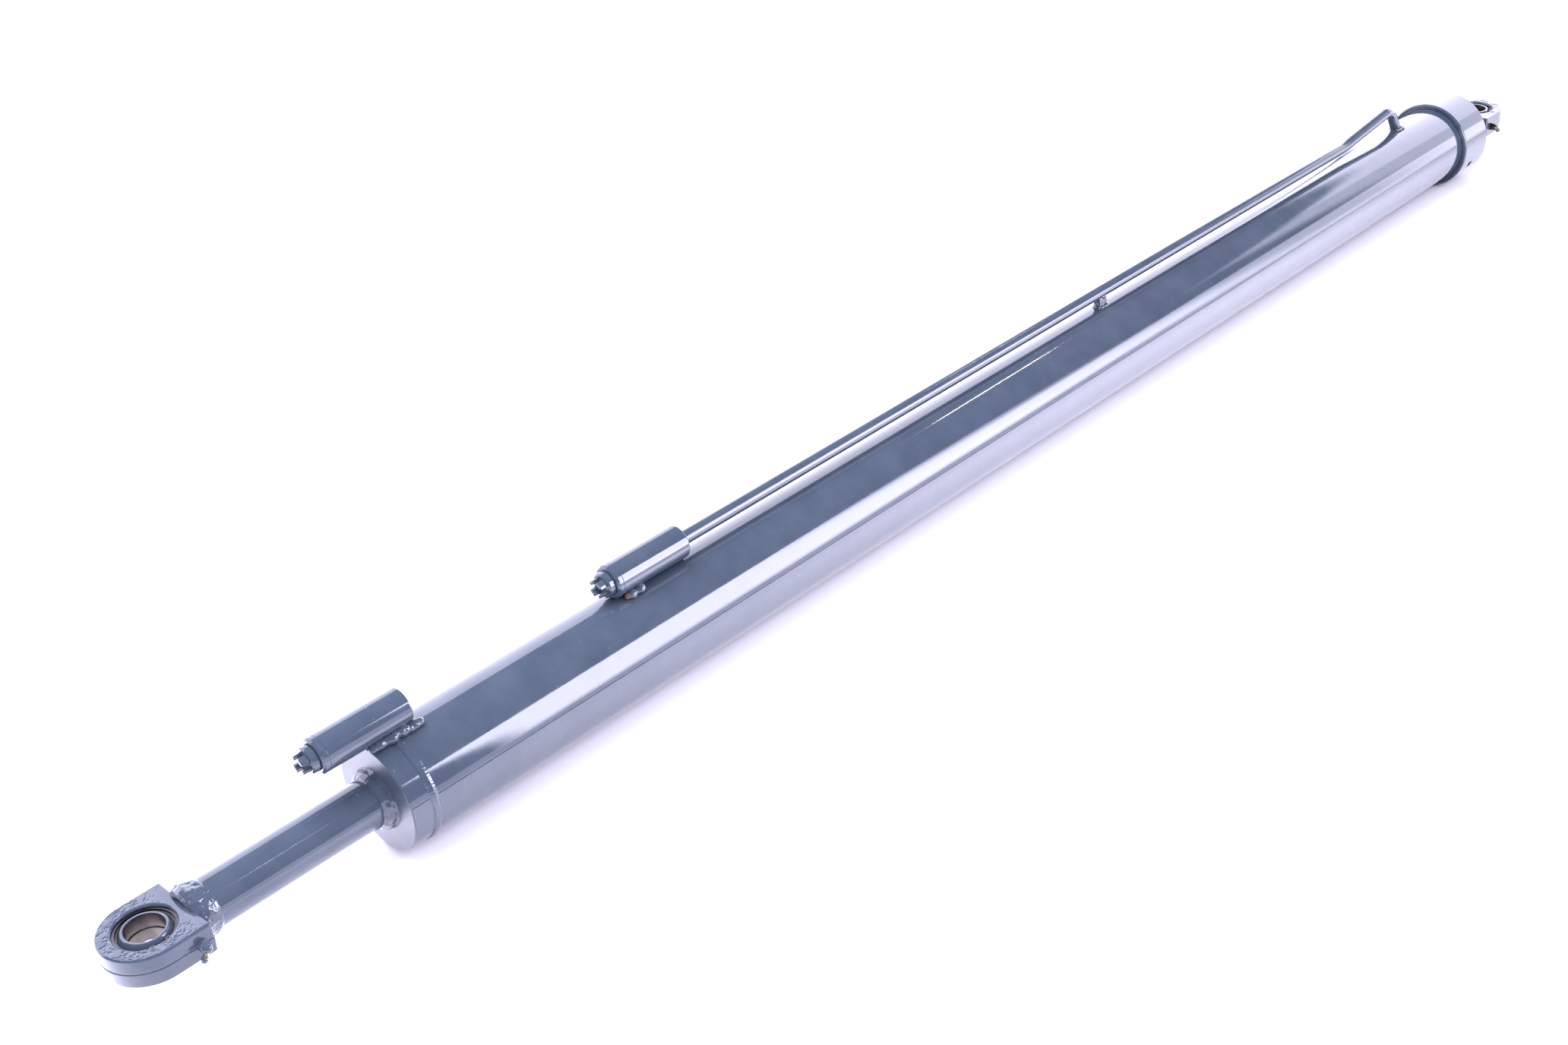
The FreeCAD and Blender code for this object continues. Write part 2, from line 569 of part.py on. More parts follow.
seal_x0 = PISTON_SEAL[0] + END_GAP
seal_x1 = PISTON_SEAL[1] - END_GAP
save("piston_seal", ring(seal_x0, seal_x1, BORE_R - RUN_FIT, SLIDE_RING_IN_R))
save("piston_energiser", ring(seal_x0, seal_x1, SLIDE_RING_IN_R, ENERGISER_IN_R))
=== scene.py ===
import json
import math

import bmesh
import bpy
import numpy as np
from mathutils import Matrix, Vector, noise


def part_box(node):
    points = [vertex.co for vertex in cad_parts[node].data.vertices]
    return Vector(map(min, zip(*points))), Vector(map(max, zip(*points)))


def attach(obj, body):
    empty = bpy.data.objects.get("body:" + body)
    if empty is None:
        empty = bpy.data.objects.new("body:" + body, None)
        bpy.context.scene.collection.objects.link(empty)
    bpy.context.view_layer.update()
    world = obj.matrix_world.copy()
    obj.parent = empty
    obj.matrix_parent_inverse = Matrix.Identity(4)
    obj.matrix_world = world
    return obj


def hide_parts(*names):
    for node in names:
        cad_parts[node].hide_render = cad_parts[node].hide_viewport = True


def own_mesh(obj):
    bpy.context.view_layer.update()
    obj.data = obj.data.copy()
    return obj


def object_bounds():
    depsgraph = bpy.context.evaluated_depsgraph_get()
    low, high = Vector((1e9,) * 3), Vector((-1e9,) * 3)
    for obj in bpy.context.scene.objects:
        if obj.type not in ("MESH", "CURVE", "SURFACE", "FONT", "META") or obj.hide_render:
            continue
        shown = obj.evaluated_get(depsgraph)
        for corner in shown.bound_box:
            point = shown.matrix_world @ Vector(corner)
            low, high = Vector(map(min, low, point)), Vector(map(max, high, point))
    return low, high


# A long hydraulic cylinder in glossy slate paint. Shapes are worked out in millimetres
# and written to Blender in metres. +X runs along the cylinder, +Z is up, -Y is the near side.

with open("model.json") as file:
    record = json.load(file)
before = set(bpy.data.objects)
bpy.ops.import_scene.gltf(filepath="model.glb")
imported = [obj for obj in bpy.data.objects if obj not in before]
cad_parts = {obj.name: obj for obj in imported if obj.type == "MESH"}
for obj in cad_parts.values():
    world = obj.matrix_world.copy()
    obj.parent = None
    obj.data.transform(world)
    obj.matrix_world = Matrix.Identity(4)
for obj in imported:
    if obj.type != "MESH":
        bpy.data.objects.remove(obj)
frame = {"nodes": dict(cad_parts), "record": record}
cad_box = [list(corner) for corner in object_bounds()]

MM = 0.001
FULL = 2 * math.pi


# ---------------------------------------------------------------- sizes from the frame
def span(node):
    """Lowest and highest corner of a CAD node, in millimetres."""
    low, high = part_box(node)
    return [v / MM for v in low], [v / MM for v in high]


eye_high = span("base_eye")[1]
EYE_R = eye_high[1]
EYE_HALF = eye_high[2]
FOOT_X = eye_high[0]
ROD_EYE_X = span("rod_eye")[0][0] + FOOT_X
RACE_R = span("base_bearing_race")[1][1]
RACE_HALF = span("base_bearing_race")[1][2]
BALL_HALF = span("base_bearing_ball")[1][2]
BALL_R = span("base_bearing_ball")[1][0]
PIN_R = 17.5
TUBE_R = span("extension_tube")[1][1]
CAP_X, CAP_END = span("base_cap")[0][0], span("base_cap")[1][0]
CAP_R = span("base_cap")[1][1]
BARREL_X, BARREL_END = span("barrel")[0][0], span("barrel")[1][0]
BARREL_R = span("barrel")[1][1]
BORE_R = 45.0
GLAND_X, GLAND_FACE = 2180.0, span("gland")[1][0]
GLAND_R = span("gland")[1][1]
GLAND_NOSE = span("gland")[0][0]
ROD_R = span("piston_rod")[1][1]
ROD_START, ROD_END = span("piston_rod")[0][0], span("piston_rod")[1][0]
PORT_R = 18.0
PORT_Y = (span("base_port_housing")[0][1] + span("base_port_housing")[1][1]) / 2
PORT_Z = (span("base_port_housing")[0][2] + span("base_port_housing")[1][2]) / 2
PORT_DIST = math.hypot(PORT_Y, PORT_Z)
PORT_ANGLE = math.atan2(PORT_Y, PORT_Z)
ENDS = {"base": (0.0, 1), "rod": (ROD_EYE_X, -1)}


# ---------------------------------------------------------------- outlines
def rounded(points, closed=False, steps=4):
    """Outline whose corners are arcs. A point is (x, y) or (x, y, corner radius).

    A support point stands on each side of an arc, so that smooth shading stays at the arc.
    """
    count = len(points)
    outline = []
    for i, point in enumerate(points):
        here = np.array(point[:2], float)
        radius = point[2] if len(point) > 2 else 0.0
        if radius <= 0 or (not closed and i in (0, count - 1)):
            outline.append(here)
            continue
        back = np.array(points[i - 1][:2], float) - here
        ahead = np.array(points[(i + 1) % count][:2], float) - here
        len_back, len_ahead = np.linalg.norm(back), np.linalg.norm(ahead)
        back, ahead = back / len_back, ahead / len_ahead
        half = math.acos(max(-1.0, min(1.0, float(back @ ahead)))) / 2
        setback = min(radius / math.tan(half), 0.49 * len_back, 0.49 * len_ahead)
        radius = setback * math.tan(half)
        middle = back + ahead
        centre = here + middle / np.linalg.norm(middle) * radius / math.sin(half)
        start, end = here + back * setback, here + ahead * setback
        for k in range(steps + 1):
            t = k / steps
            spoke = (start - centre) * (1 - t) + (end - centre) * t
            outline.append(centre + spoke / np.linalg.norm(spoke) * radius)
        margin = 0.3 * radius
        if len_back > 2 * (setback + margin):
            outline.insert(-(steps + 1), here + back * (setback + margin))
        if len_ahead > 2 * (setback + margin):
            outline.append(here + ahead * (setback + margin))
    return outline


def divided(outline, longest, closed=False):
    """The same outline with long runs split, so that no run is longer than longest."""
    result = []
    count = len(outline)
    for i in range(count if closed else count - 1):
        a, b = np.array(outline[i]), np.array(outline[(i + 1) % count])
        parts = max(1, math.ceil(np.linalg.norm(b - a) / longest))
        result += [a + (b - a) * k / parts for k in range(parts)]
    return result if closed else result + [np.array(outline[-1])]


# ---------------------------------------------------------------- solids
def axis_place(origin, direction):
    """Matrix that puts local +X on direction, with the origin at origin."""
    turn = Vector((1, 0, 0)).rotation_difference(Vector(direction)).to_matrix().to_4x4()
    return Matrix.Translation(origin) @ turn


def moved(shape, matrix):
    """The shape under a matrix."""
    verts, faces = shape
    m = np.array(matrix)
    return verts @ m[:3, :3].T + m[:3, 3], faces


def joined(*shapes):
    """Several shapes as one."""
    verts, faces, start = [], [], 0
    for points, polygons in shapes:
        verts.append(points)
        faces += [tuple(i + start for i in polygon) for polygon in polygons]
        start += len(points)
    return np.vstack(verts), faces


def turned(outline, segments=128, closed=False, y=0.0, z=0.0):
    """Solid of revolution about a line along X; an outline point is (x, radius)."""
    angles = np.arange(segments) * FULL / segments
    verts, rings = [], []
    for x, r in outline:
        if r < 1e-6:
            rings.append([len(verts)])
            verts.append((x, y, z))
        else:
            rings.append(list(range(len(verts), len(verts) + segments)))
            verts += [(x, y + r * math.sin(a), z + r * math.cos(a)) for a in angles]
    faces = []
    pairs = list(zip(rings, rings[1:])) + ([(rings[-1], rings[0])] if closed else [])
    for a, b in pairs:
        for k in range(segments):
            n = (k + 1) % segments
            if len(a) > 1 and len(b) > 1:
                faces.append((a[k], a[n], b[n], b[k]))
            elif len(b) > 1:
                faces.append((a[0], b[n], b[k]))
            elif len(a) > 1:
                faces.append((a[k], a[n], b[0]))
    return np.array(verts, float), faces


def lofted(loops):
    """Closed rings of points joined one after another, and the last joined to the first."""
    size = len(loops[0])
    faces = []
    for i in range(len(loops)):
        a, b = i * size, (i + 1) % len(loops) * size
        for k in range(size):
            n = (k + 1) % size
            faces.append((a + k, a + n, b + n, b + k))
    return np.vstack(loops), faces


def extruded(outline, x0, x1, taper=0.0):
    """Prism along X with an outline of (y, z) points; the x0 end is smaller by taper."""
    flat = np.array(outline, float)
    centre = flat.mean(0)
    small = centre + (flat - centre) * (1 - taper)
    count = len(flat)
    verts = [(x0, p[0], p[1]) for p in small] + [(x1, p[0], p[1]) for p in flat]
    faces = [tuple(range(count)), tuple(range(2 * count - 1, count - 1, -1))]
    faces += [(k, k + count, (k + 1) % count + count, (k + 1) % count) for k in range(count)]
    return np.array(verts, float), faces


def block(low, high):
    """Box from its lowest to its highest corner."""
    outline = [(low[1], low[2]), (high[1], low[2]), (high[1], high[2]), (low[1], high[2])]
    return extruded(outline, low[0], high[0])


def ball_shape(centre, radii, segments=28):
    """Ellipsoid used as one drop of weld metal."""
    outline = [(-math.cos(t), math.sin(t)) for t in np.linspace(0, math.pi, segments // 2)]
    outline[0], outline[-1] = (-1, 0), (1, 0)
    verts, faces = turned(outline, segments)
    return verts * np.array(radii) + np.array(centre), faces


def swept(path, radii, around=40):
    """Round bar along a path, with rounded-off flat ends."""
    path = np.array(path, float)
    tangents = np.gradient(path, axis=0)
    tangents /= np.linalg.norm(tangents, axis=1)[:, None]
    side = np.cross(tangents[0], (0, 0, 1.0))
    verts, faces = [], []
    for i, (point, tangent) in enumerate(zip(path, tangents)):
        side = side - tangent * (side @ tangent)
        side /= np.linalg.norm(side)
        other = np.cross(tangent, side)
        for k in range(around):
            a = k * FULL / around
            verts.append(point + radii[i] * (math.cos(a) * side + math.sin(a) * other))
    for i in range(len(path) - 1):
        for k in range(around):
            n = (k + 1) % around
            near, far = i * around, (i + 1) * around
            faces.append((near + k, near + n, far + n, far + k))
    last = (len(path) - 1) * around
    faces.append(tuple(range(around)))
    faces.append(tuple(range(last + around - 1, last - 1, -1)))
    return np.array(verts), faces


# ---------------------------------------------------------------- pieces
def new_object(name, shape):
    """Blender object from a shape in millimetres, with its normals outward."""
    verts, faces = shape
    mesh = bpy.data.meshes.new(name)
    mesh.from_pydata([tuple(v) for v in np.asarray(verts) * MM], [], faces)
    work = bmesh.new()
    work.from_mesh(mesh)
    bmesh.ops.recalc_face_normals(work, faces=work.faces)
    work.to_mesh(mesh)
    work.free()
    obj = bpy.data.objects.new(name, mesh)
    bpy.context.scene.collection.objects.link(obj)
    return obj


def apply_modifiers(obj):
    """Replaces the object's mesh with its modified mesh."""
    graph = bpy.context.evaluated_depsgraph_get()
    result = bpy.data.meshes.new_from_object(obj.evaluated_get(graph))
    obj.modifiers.clear()
    obj.data = result


def remeshed(obj, voxel):
    """Fuses overlapping drops of weld metal into one skin."""
    skin = obj.modifiers.new("skin", "REMESH")
    skin.mode = "VOXEL"
    skin.voxel_size = voxel * MM
    ease = obj.modifiers.new("ease", "SMOOTH")
    ease.factor = 0.5
    ease.iterations = 4
    apply_modifiers(obj)


def bevelled(obj, width, angle=40.0):
    """Rounds the sharp edges of a piece."""
    rim = obj.modifiers.new("rim", "BEVEL")
    rim.width = width * MM
    rim.segments = 3
    rim.limit_method = "ANGLE"
    rim.angle_limit = math.radians(angle)
    apply_modifiers(obj)


def cut_with(obj, shape):
    """Cuts a shape out of a piece."""
    cutter = new_object("cutter", shape)
    cut = obj.modifiers.new("cut", "BOOLEAN")
    cut.operation = "DIFFERENCE"
    cut.solver = "EXACT"
    cut.object = cutter
    apply_modifiers(obj)
    bpy.data.objects.remove(cutter)


def relieved(obj, relief):
    """Moves each point along its normal by relief(point in mm) mm."""
    work = bmesh.new()
    work.from_mesh(obj.data)
    work.normal_update()
    steps = [v.normal * relief(v.co / MM) * MM for v in work.verts]
    for vert, step in zip(work.verts, steps):
        vert.co += step
    work.to_mesh(obj.data)
    work.free()


def finished(obj, body, materials, nodes, sharp=38.0, choose=None):
    """Shading, materials, body and the CAD nodes that the piece stands for."""
    for material in materials:
        obj.data.materials.append(material)
    if choose:
        for polygon in obj.data.polygons:
            polygon.material_index = choose(Vector(polygon.center) / MM)
    obj.data.shade_smooth()
    obj.data.set_sharp_from_angle(angle=math.radians(sharp))
    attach(obj, body)
    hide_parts(*nodes)
    return obj


def piece(name, shape, body, materials, nodes, sharp=38.0, choose=None):
    """A finished piece straight from a shape."""
    return finished(new_object(name, shape), body, materials, nodes, sharp, choose)


# ---------------------------------------------------------------- materials
def node(tree, kind, inputs=None, **settings):
    """A shader node; an input is a socket to link or a value to set."""
    made = tree.nodes.new("ShaderNode" + kind)
    for key, value in settings.items():
        setattr(made, key, value)
    for key, value in (inputs or {}).items():
        if isinstance(value, bpy.types.NodeSocket):
            tree.links.new(value, made.inputs[key])
        else:
            made.inputs[key].default_value = value
    return made


def new_material(name):
    """Empty node material with a Principled shader; returns material, tree, shader, coordinates."""
    material = bpy.data.materials.new(name)
    material.use_nodes = True
    tree = material.node_tree
    shader = tree.nodes["Principled BSDF"]
    place = node(tree, "TexCoord").outputs["Object"]
    return material, tree, shader, place


def mixed(tree, factor, a, b):
    """Colour mix of two colours or sockets."""
    made = node(tree, "Mix", data_type="RGBA", inputs={0: factor, 6: a, 7: b})
    return made.outputs[2]


def ranged(tree, value, low, high, to_low=0.0, to_high=1.0):
    """Value from low to high as to_low to to_high, held at the ends."""
    made = node(tree, "MapRange", {"Value": value, "From Min": low, "From Max": high,
                                   "To Min": to_low, "To Max": to_high})
    return made.outputs["Result"]


def bumped(tree, height, distance, strength=1.0, under=None):
    """Bump of a height socket over an earlier normal; distance in millimetres."""
    inputs = {"Height": height, "Distance": distance * MM, "Strength": strength}
    if under is not None:
        inputs["Normal"] = under
    return node(tree, "Bump", inputs).outputs["Normal"]


def noise_at(tree, place, per_metre, detail=2.0, rough=0.5):
    """Noise value whose features are about 1 / per_metre metres long."""
    made = node(tree, "TexNoise", {"Vector": place, "Scale": per_metre, "Detail": detail,
                                   "Roughness": rough})
    return made.outputs[0]


PAINT = (0.034, 0.047, 0.066, 1)
PAINT_LIGHT = (0.044, 0.058, 0.078, 1)
# lighter slate for the painted highlight on sharp edges
PAINT_EDGE_HIGHLIGHT = (0.085, 0.105, 0.135, 1)
DUST = (0.20, 0.20, 0.22, 1)
PRIMER_DARK = (0.045, 0.018, 0.008, 1)
PRIMER_LIGHT = (0.17, 0.075, 0.030, 1)
ZINC = (0.50, 0.40, 0.16, 1)


def paint(name, peel=0.010, nibs=1.0, rust=None, dull=0.0):
    """Glossy slate paint: orange peel, a painted highlight on sharp edges, dust nibs, faint
    mottling and a primer spot if asked.

    peel is the bump depth in millimetres, and dull is added to the roughness.
    """
    material, tree, shader, place = new_material(name)
    mottle = noise_at(tree, place, 22, 4.0, 0.6)
    colour = mixed(tree, ranged(tree, mottle, 0.35, 0.68), PAINT, PAINT_LIGHT)
    # painted highlight: sharp convex edges get a lighter colour, as if they caught the light
    edge = ranged(tree, node(tree, "NewGeometry").outputs["Pointiness"], 0.53, 0.62, 0.0, 0.35)
    colour = mixed(tree, edge, colour, PAINT_EDGE_HIGHLIGHT)

    specks = node(tree, "TexVoronoi", {"Vector": place, "Scale": 105.0, "Randomness": 1.0})
    spot = ranged(tree, specks.outputs["Distance"], 0.035, 0.075, 1.0, 0.0)
    group = ranged(tree, noise_at(tree, place, 7.0, 2.0), 0.58, 0.66)
    nib = node(tree, "Math", {0: spot, 1: group}, operation="MULTIPLY").outputs[0]
    colour = mixed(tree, ranged(tree, nib, 0.0, 1.0, 0.0, 0.55 * nibs), colour, DUST)

    smear = noise_at(tree, place, 60, 5.0, 0.65)
    rough = ranged(tree, smear, 0.35, 0.75, 0.055 + dull, 0.12 + dull)
    normal = bumped(tree, noise_at(tree, place, 330, 2.0), peel)
    normal = bumped(tree, noise_at(tree, place, 75, 1.0), 0.9 * peel, under=normal)
    normal = bumped(tree, nib, 0.12 * nibs, under=normal)
    if rust:
        centre, reach = rust
        reach *= MM
        offset = node(tree, "VectorMath", {0: place, 1: [c * MM for c in centre]},
                      operation="DISTANCE")
        uneven = ranged(tree, noise_at(tree, place, 420, 4.0), 0.2, 0.8, -reach, reach)
        ragged = node(tree, "Math", {0: offset.outputs["Value"], 1: uneven}, operation="ADD")
        bare = ranged(tree, ragged.outputs[0], 0.9 * reach, 1.1 * reach, 1.0, 0.0)
        primer = mixed(tree, noise_at(tree, place, 900, 3.0), PRIMER_DARK, PRIMER_LIGHT)
        colour = mixed(tree, bare, colour, primer)
        rough = node(tree, "Mix", {0: bare, 2: rough, 3: 0.75}, data_type="FLOAT").outputs[0]
    tree.links.new(colour, shader.inputs["Base Color"])
    tree.links.new(rough, shader.inputs["Roughness"])
    tree.links.new(normal, shader.inputs["Normal"])
    return material


def metal(name, light, dark, rough_low, rough_high, brush=(1.0, 1.0, 1.0), grain=900.0,
          depth=0.004):
    """Bare or plated metal with turning marks along one direction and uneven tarnish."""
    material, tree, shader, place = new_material(name)
    stretched = node(tree, "Mapping", {"Vector": place, "Scale": brush}).outputs[0]
    lines = noise_at(tree, stretched, grain, 3.0)
    tarnish = noise_at(tree, place, 70, 5.0, 0.65)
    colour = mixed(tree, ranged(tree, tarnish, 0.35, 0.7), light, dark)
    tree.links.new(colour, shader.inputs["Base Color"])
    tree.links.new(ranged(tree, lines, 0.3, 0.7, rough_low, rough_high), shader.inputs["Roughness"])
    tree.links.new(bumped(tree, lines, depth), shader.inputs["Normal"])
    shader.inputs["Metallic"].default_value = 1.0
    return material


def polymer(name, light, dark, roughness, sheen=0.0):
    """Rubber or seal plastic: fine moulded grain and slight wear."""
    material, tree, shader, place = new_material(name)
    grain = noise_at(tree, place, 2400, 3.0)
    worn = noise_at(tree, place, 120, 4.0)
    colour = mixed(tree, ranged(tree, worn, 0.4, 0.7), dark, light)
    tree.links.new(colour, shader.inputs["Base Color"])
    tree.links.new(ranged(tree, grain, 0.3, 0.7, roughness - 0.08, roughness + 0.08),
                   shader.inputs["Roughness"])
    tree.links.new(bumped(tree, grain, 0.01), shader.inputs["Normal"])
    shader.inputs["Sheen Weight"].default_value = sheen
    return material


def yellowed_tip(name, cover, bare_from):
    """Nipple head: overspray worn through to yellow zinc plating."""
    material, tree, shader, place = new_material(name)
    worn = ranged(tree, noise_at(tree, place, 130, 3.0, 0.5), bare_from, bare_from + 0.07)
    colour = mixed(tree, worn, cover, ZINC)
    tree.links.new(colour, shader.inputs["Base Color"])
    tree.links.new(ranged(tree, worn, 0.0, 1.0, 0.12, 0.3), shader.inputs["Roughness"])
    tree.links.new(ranged(tree, worn, 0.0, 1.0, 0.0, 0.9), shader.inputs["Metallic"])
    tree.links.new(bumped(tree, noise_at(tree, place, 900, 3.0), 0.02), shader.inputs["Normal"])
    return material


gloss = paint("paint_gloss", peel=0.014)
gloss_forged = paint("paint_forged", peel=0.012, nibs=0.6)
gloss_weld = paint("paint_weld", peel=0.02, nibs=0.3)
gloss_plug = paint("paint_plug", peel=0.006, nibs=0.3)
gloss_turned = paint("paint_turned_face", peel=0.006, nibs=0.3, dull=0.28)
gloss_rusted = paint("paint_weld_rust", peel=0.02, nibs=0.3,
                     rust=((span("rod_port_weld")[0][0] - 3.0, -9.0, 58.0), 6.5))
bare_bore = metal("bare_bore", (0.10, 0.088, 0.078, 1), (0.05, 0.042, 0.037, 1), 0.30, 0.5,
                  brush=(1, 1, 12), grain=500)
dark_steel = metal("dark_steel", (0.09, 0.085, 0.085, 1), (0.035, 0.033, 0.035, 1), 0.35, 0.55)
spring_steel = metal("spring_steel", (0.10, 0.10, 0.11, 1), (0.05, 0.05, 0.055, 1), 0.3, 0.45)
machined = metal("machined", (0.56, 0.56, 0.57, 1), (0.42, 0.42, 0.43, 1), 0.22, 0.4,
                 brush=(10, 1, 1), grain=700)
chrome = metal("chrome", (0.60, 0.61, 0.63, 1), (0.55, 0.56, 0.58, 1), 0.04, 0.09,
               brush=(14, 1, 1), grain=300, depth=0.0008)
rubber = polymer("rubber", (0.030, 0.030, 0.032, 1), (0.014, 0.014, 0.015, 1), 0.62, 0.2)
seal_plastic = polymer("seal_plastic", (0.22, 0.26, 0.20, 1), (0.15, 0.18, 0.14, 1), 0.5)
nipple_tip = yellowed_tip("nipple_tip", PAINT, 0.60)
olive = metal("olive_plating", (0.085, 0.083, 0.060, 1), (0.030, 0.033, 0.026, 1), 0.22, 0.4)
olive_tip = yellowed_tip("olive_tip", (0.040, 0.044, 0.032, 1), 0.58)

KEPT = {
    "spring_steel": spring_steel, "bearing_steel": dark_steel, "machined_steel": machined,
    "nitrile_rubber": rubber, "seal_polymer": seal_plastic, "painted_steel": gloss,
    "painted_plastic": gloss_plug, "chromed_rod": chrome,
}
for row in frame["record"]["subparts"]:
    kept = frame["nodes"][row["node"]]
    kept.data.materials.clear()
    kept.data.materials.append(KEPT[row["material_slot"]])


# ---------------------------------------------------------------- relief patterns
def weld_relief(grain, depth, seed):
    """Lumps of weld metal with fine ripples on them."""
    shift = Vector((seed * 3.7, seed * 1.3, seed * 2.1))

    def relief(p):
        lump = noise.fractal(p / grain + shift, 1.0, 2.0, 2)
        drop = noise.noise(p / (0.45 * grain) + shift)
        return depth * (lump + 0.22 * drop)
    return relief


def crinkle(p, mirror):
    """Forging skin on an eye's faces: short wavy ridges that flow round the bore."""
    x, y = p.x * mirror, p.y
    reach = math.hypot(x, y)
    turn = math.atan2(y, x)
    bend = 1.2 * noise.noise(Vector((x / 9, y / 9, 3.0)))
    flow = Vector((turn * 6.0, reach / 3.0 + bend, 7.0 if p.z > 0 else 19.0))
    crease = max(0.0, 1 - abs(noise.noise(flow)) / 0.20)
    second = Vector((turn * 10.0, reach / 1.9 - bend, 31.0 if p.z > 0 else 43.0))
    short = max(0.0, 1 - abs(noise.noise(second)) / 0.22)
    cross = max(0.0, 1 - abs(noise.noise(Vector((x / 2.2, y / 2.2, 5.0)))) / 0.16)
    broad = noise.noise(Vector((x / 7, y / 7, 11.0)))
    fade = min(1.0, max(0.0, (31.0 - x) / 15.0))
    patch = min(1.0, max(0.0, 0.80 + 2.2 * broad))
    return 0.06 * broad - fade * patch * (0.48 * crease + 0.26 * short + 0.12 * cross)


# ---------------------------------------------------------------- eyes
def eye_outline():
    """Plan outline of an eye: half-round nose, straight flanks and rounded foot corners."""
    corner = 3.0
    nose = [(EYE_R * math.cos(a), EYE_R * math.sin(a))
            for a in np.linspace(math.pi / 2, 1.5 * math.pi, 200)]
    foot = rounded([(0.0, -EYE_R), (FOOT_X, -EYE_R, corner), (FOOT_X, EYE_R, corner), (0.0, EYE_R)])
    return np.array(divided(nose[:-1] + divided(foot, 0.75)[:-1], 0.75, closed=True))


def eye_shape():
    """Eye block as rings of points: face, rim, drafted side with its parting line, and seat."""
    outline = eye_outline()
    along = np.roll(outline, -1, axis=0) - np.roll(outline, 1, axis=0)
    outward = np.stack([along[:, 1], -along[:, 0]], axis=1)
    outward /= np.linalg.norm(outward, axis=1)[:, None]
    around = outline / np.linalg.norm(outline, axis=1)[:, None]
    layers = 26
    rim = 2.4
    draft = 0.9
    mouth_r = RACE_R + 1.3

    def ring_at(radius, z):
        return np.column_stack([around * radius, np.full(len(outline), z)])

    def side_at(inset, z):
        return np.column_stack([outline - outward * inset, np.full(len(outline), z)])

    def face(z):
        edge = outline - outward * (rim + draft)
        start = around * mouth_r
        return [np.column_stack([start + (edge - start) * k / layers, np.full(len(outline), z)])
                for k in range(layers + 1)]

    top = face(EYE_HALF)
    bottom = face(-EYE_HALF)[::-1]
    shoulder = []
    for k in range(1, 6):
        a = k * math.pi / 10
        shoulder.append((draft + rim * (1 - math.sin(a)), EYE_HALF - rim * (1 - math.cos(a))))
    upper = [side_at(inset, z) for inset, z in shoulder]
    upper += [side_at(draft - 0.5 * k / 4, 12.0 - 2.4 * k) for k in range(1, 5)]
    parting = [(0.38, 1.6), (0.62, 1.15), (0.55, 0.75), (0.12, 0.45), (0.0, 0.0), (0.02, -0.6)]
    middle = [side_at(inset, z) for inset, z in parting]
    lower = [side_at(0.05 + (draft - 0.05) * k / 4, -0.6 - 3.0 * k) for k in range(1, 4)]
    lower += [side_at(inset, -z) for inset, z in shoulder[::-1]]
    groove = RACE_HALF + 2.1
    seat = [(mouth_r - 0.6, -EYE_HALF + 0.5), (RACE_R, -EYE_HALF + 1.3), (RACE_R, -groove),
            (29.0, -groove), (29.0, -RACE_HALF), (RACE_R, -RACE_HALF), (RACE_R, 0.0),
            (RACE_R, RACE_HALF), (29.0, RACE_HALF), (29.0, groove), (RACE_R, groove),
            (RACE_R, EYE_HALF - 1.3), (mouth_r - 0.6, EYE_HALF - 0.5)]
    return lofted(top + upper + middle + lower + bottom + [ring_at(r, z) for r, z in seat])


def mirrored_end(shape, x, side):
    """A base-end shape put at an end; the rod end is its mirror image in X."""
    verts, faces = shape
    return verts * np.array((side, 1.0, 1.0)) + np.array((x, 0.0, 0.0)), faces


def make_eye(end, body):
    x, side = ENDS[end]
    obj = new_object(end + "_eye_forging", mirrored_end(eye_shape(), x, side))
    face_z = EYE_HALF - 0.05

    def relief(p):
        if abs(p.z) < face_z:
            return 0.05 * noise.noise(p / 5)
        return crinkle(Vector((p.x - x, p.y, p.z)), side)
    relieved(obj, relief)
    finished(obj, body, [gloss_forged], [end + "_eye"], sharp=48.0)


def make_ball(end, body):
    x, side = ENDS[end]
    face_r = math.sqrt(BALL_R ** 2 - BALL_HALF ** 2)
    arc = [(BALL_R * math.sin(a), BALL_R * math.cos(a))
           for a in np.linspace(math.asin((BALL_HALF - 0.4) / BALL_R), 0.09, 20)]
    half = [(1.8, PIN_R + 0.9), (1.8, PIN_R + 0.2), (2.0, PIN_R), (BALL_HALF - 0.7, PIN_R),
            (BALL_HALF - 0.35, PIN_R + 0.08), (BALL_HALF - 0.08, PIN_R + 0.25),
            (BALL_HALF, PIN_R + 0.45),
            (BALL_HALF, face_r - 0.35), (BALL_HALF - 0.1, face_r - 0.05)] + arc
    half += [(1.8, BALL_R - 0.04), (1.8, BALL_R - 0.9)]
    outline = half + [(-h, r) for h, r in half[::-1]]
    shape = moved(turned(outline, 192, closed=True), axis_place((x, 0, 0), (0, 0, 1)))
    inside = PIN_R + 0.3

    def choose(c):
        reach = math.hypot(c.x - x, c.y)
        return 1 if reach < inside or (abs(c.z) < 1.8 and reach < 20) else 0
    piece(end + "_ball_ring", shape, body, [gloss, bare_bore],
          [end + "_bearing_ball"], choose=choose)


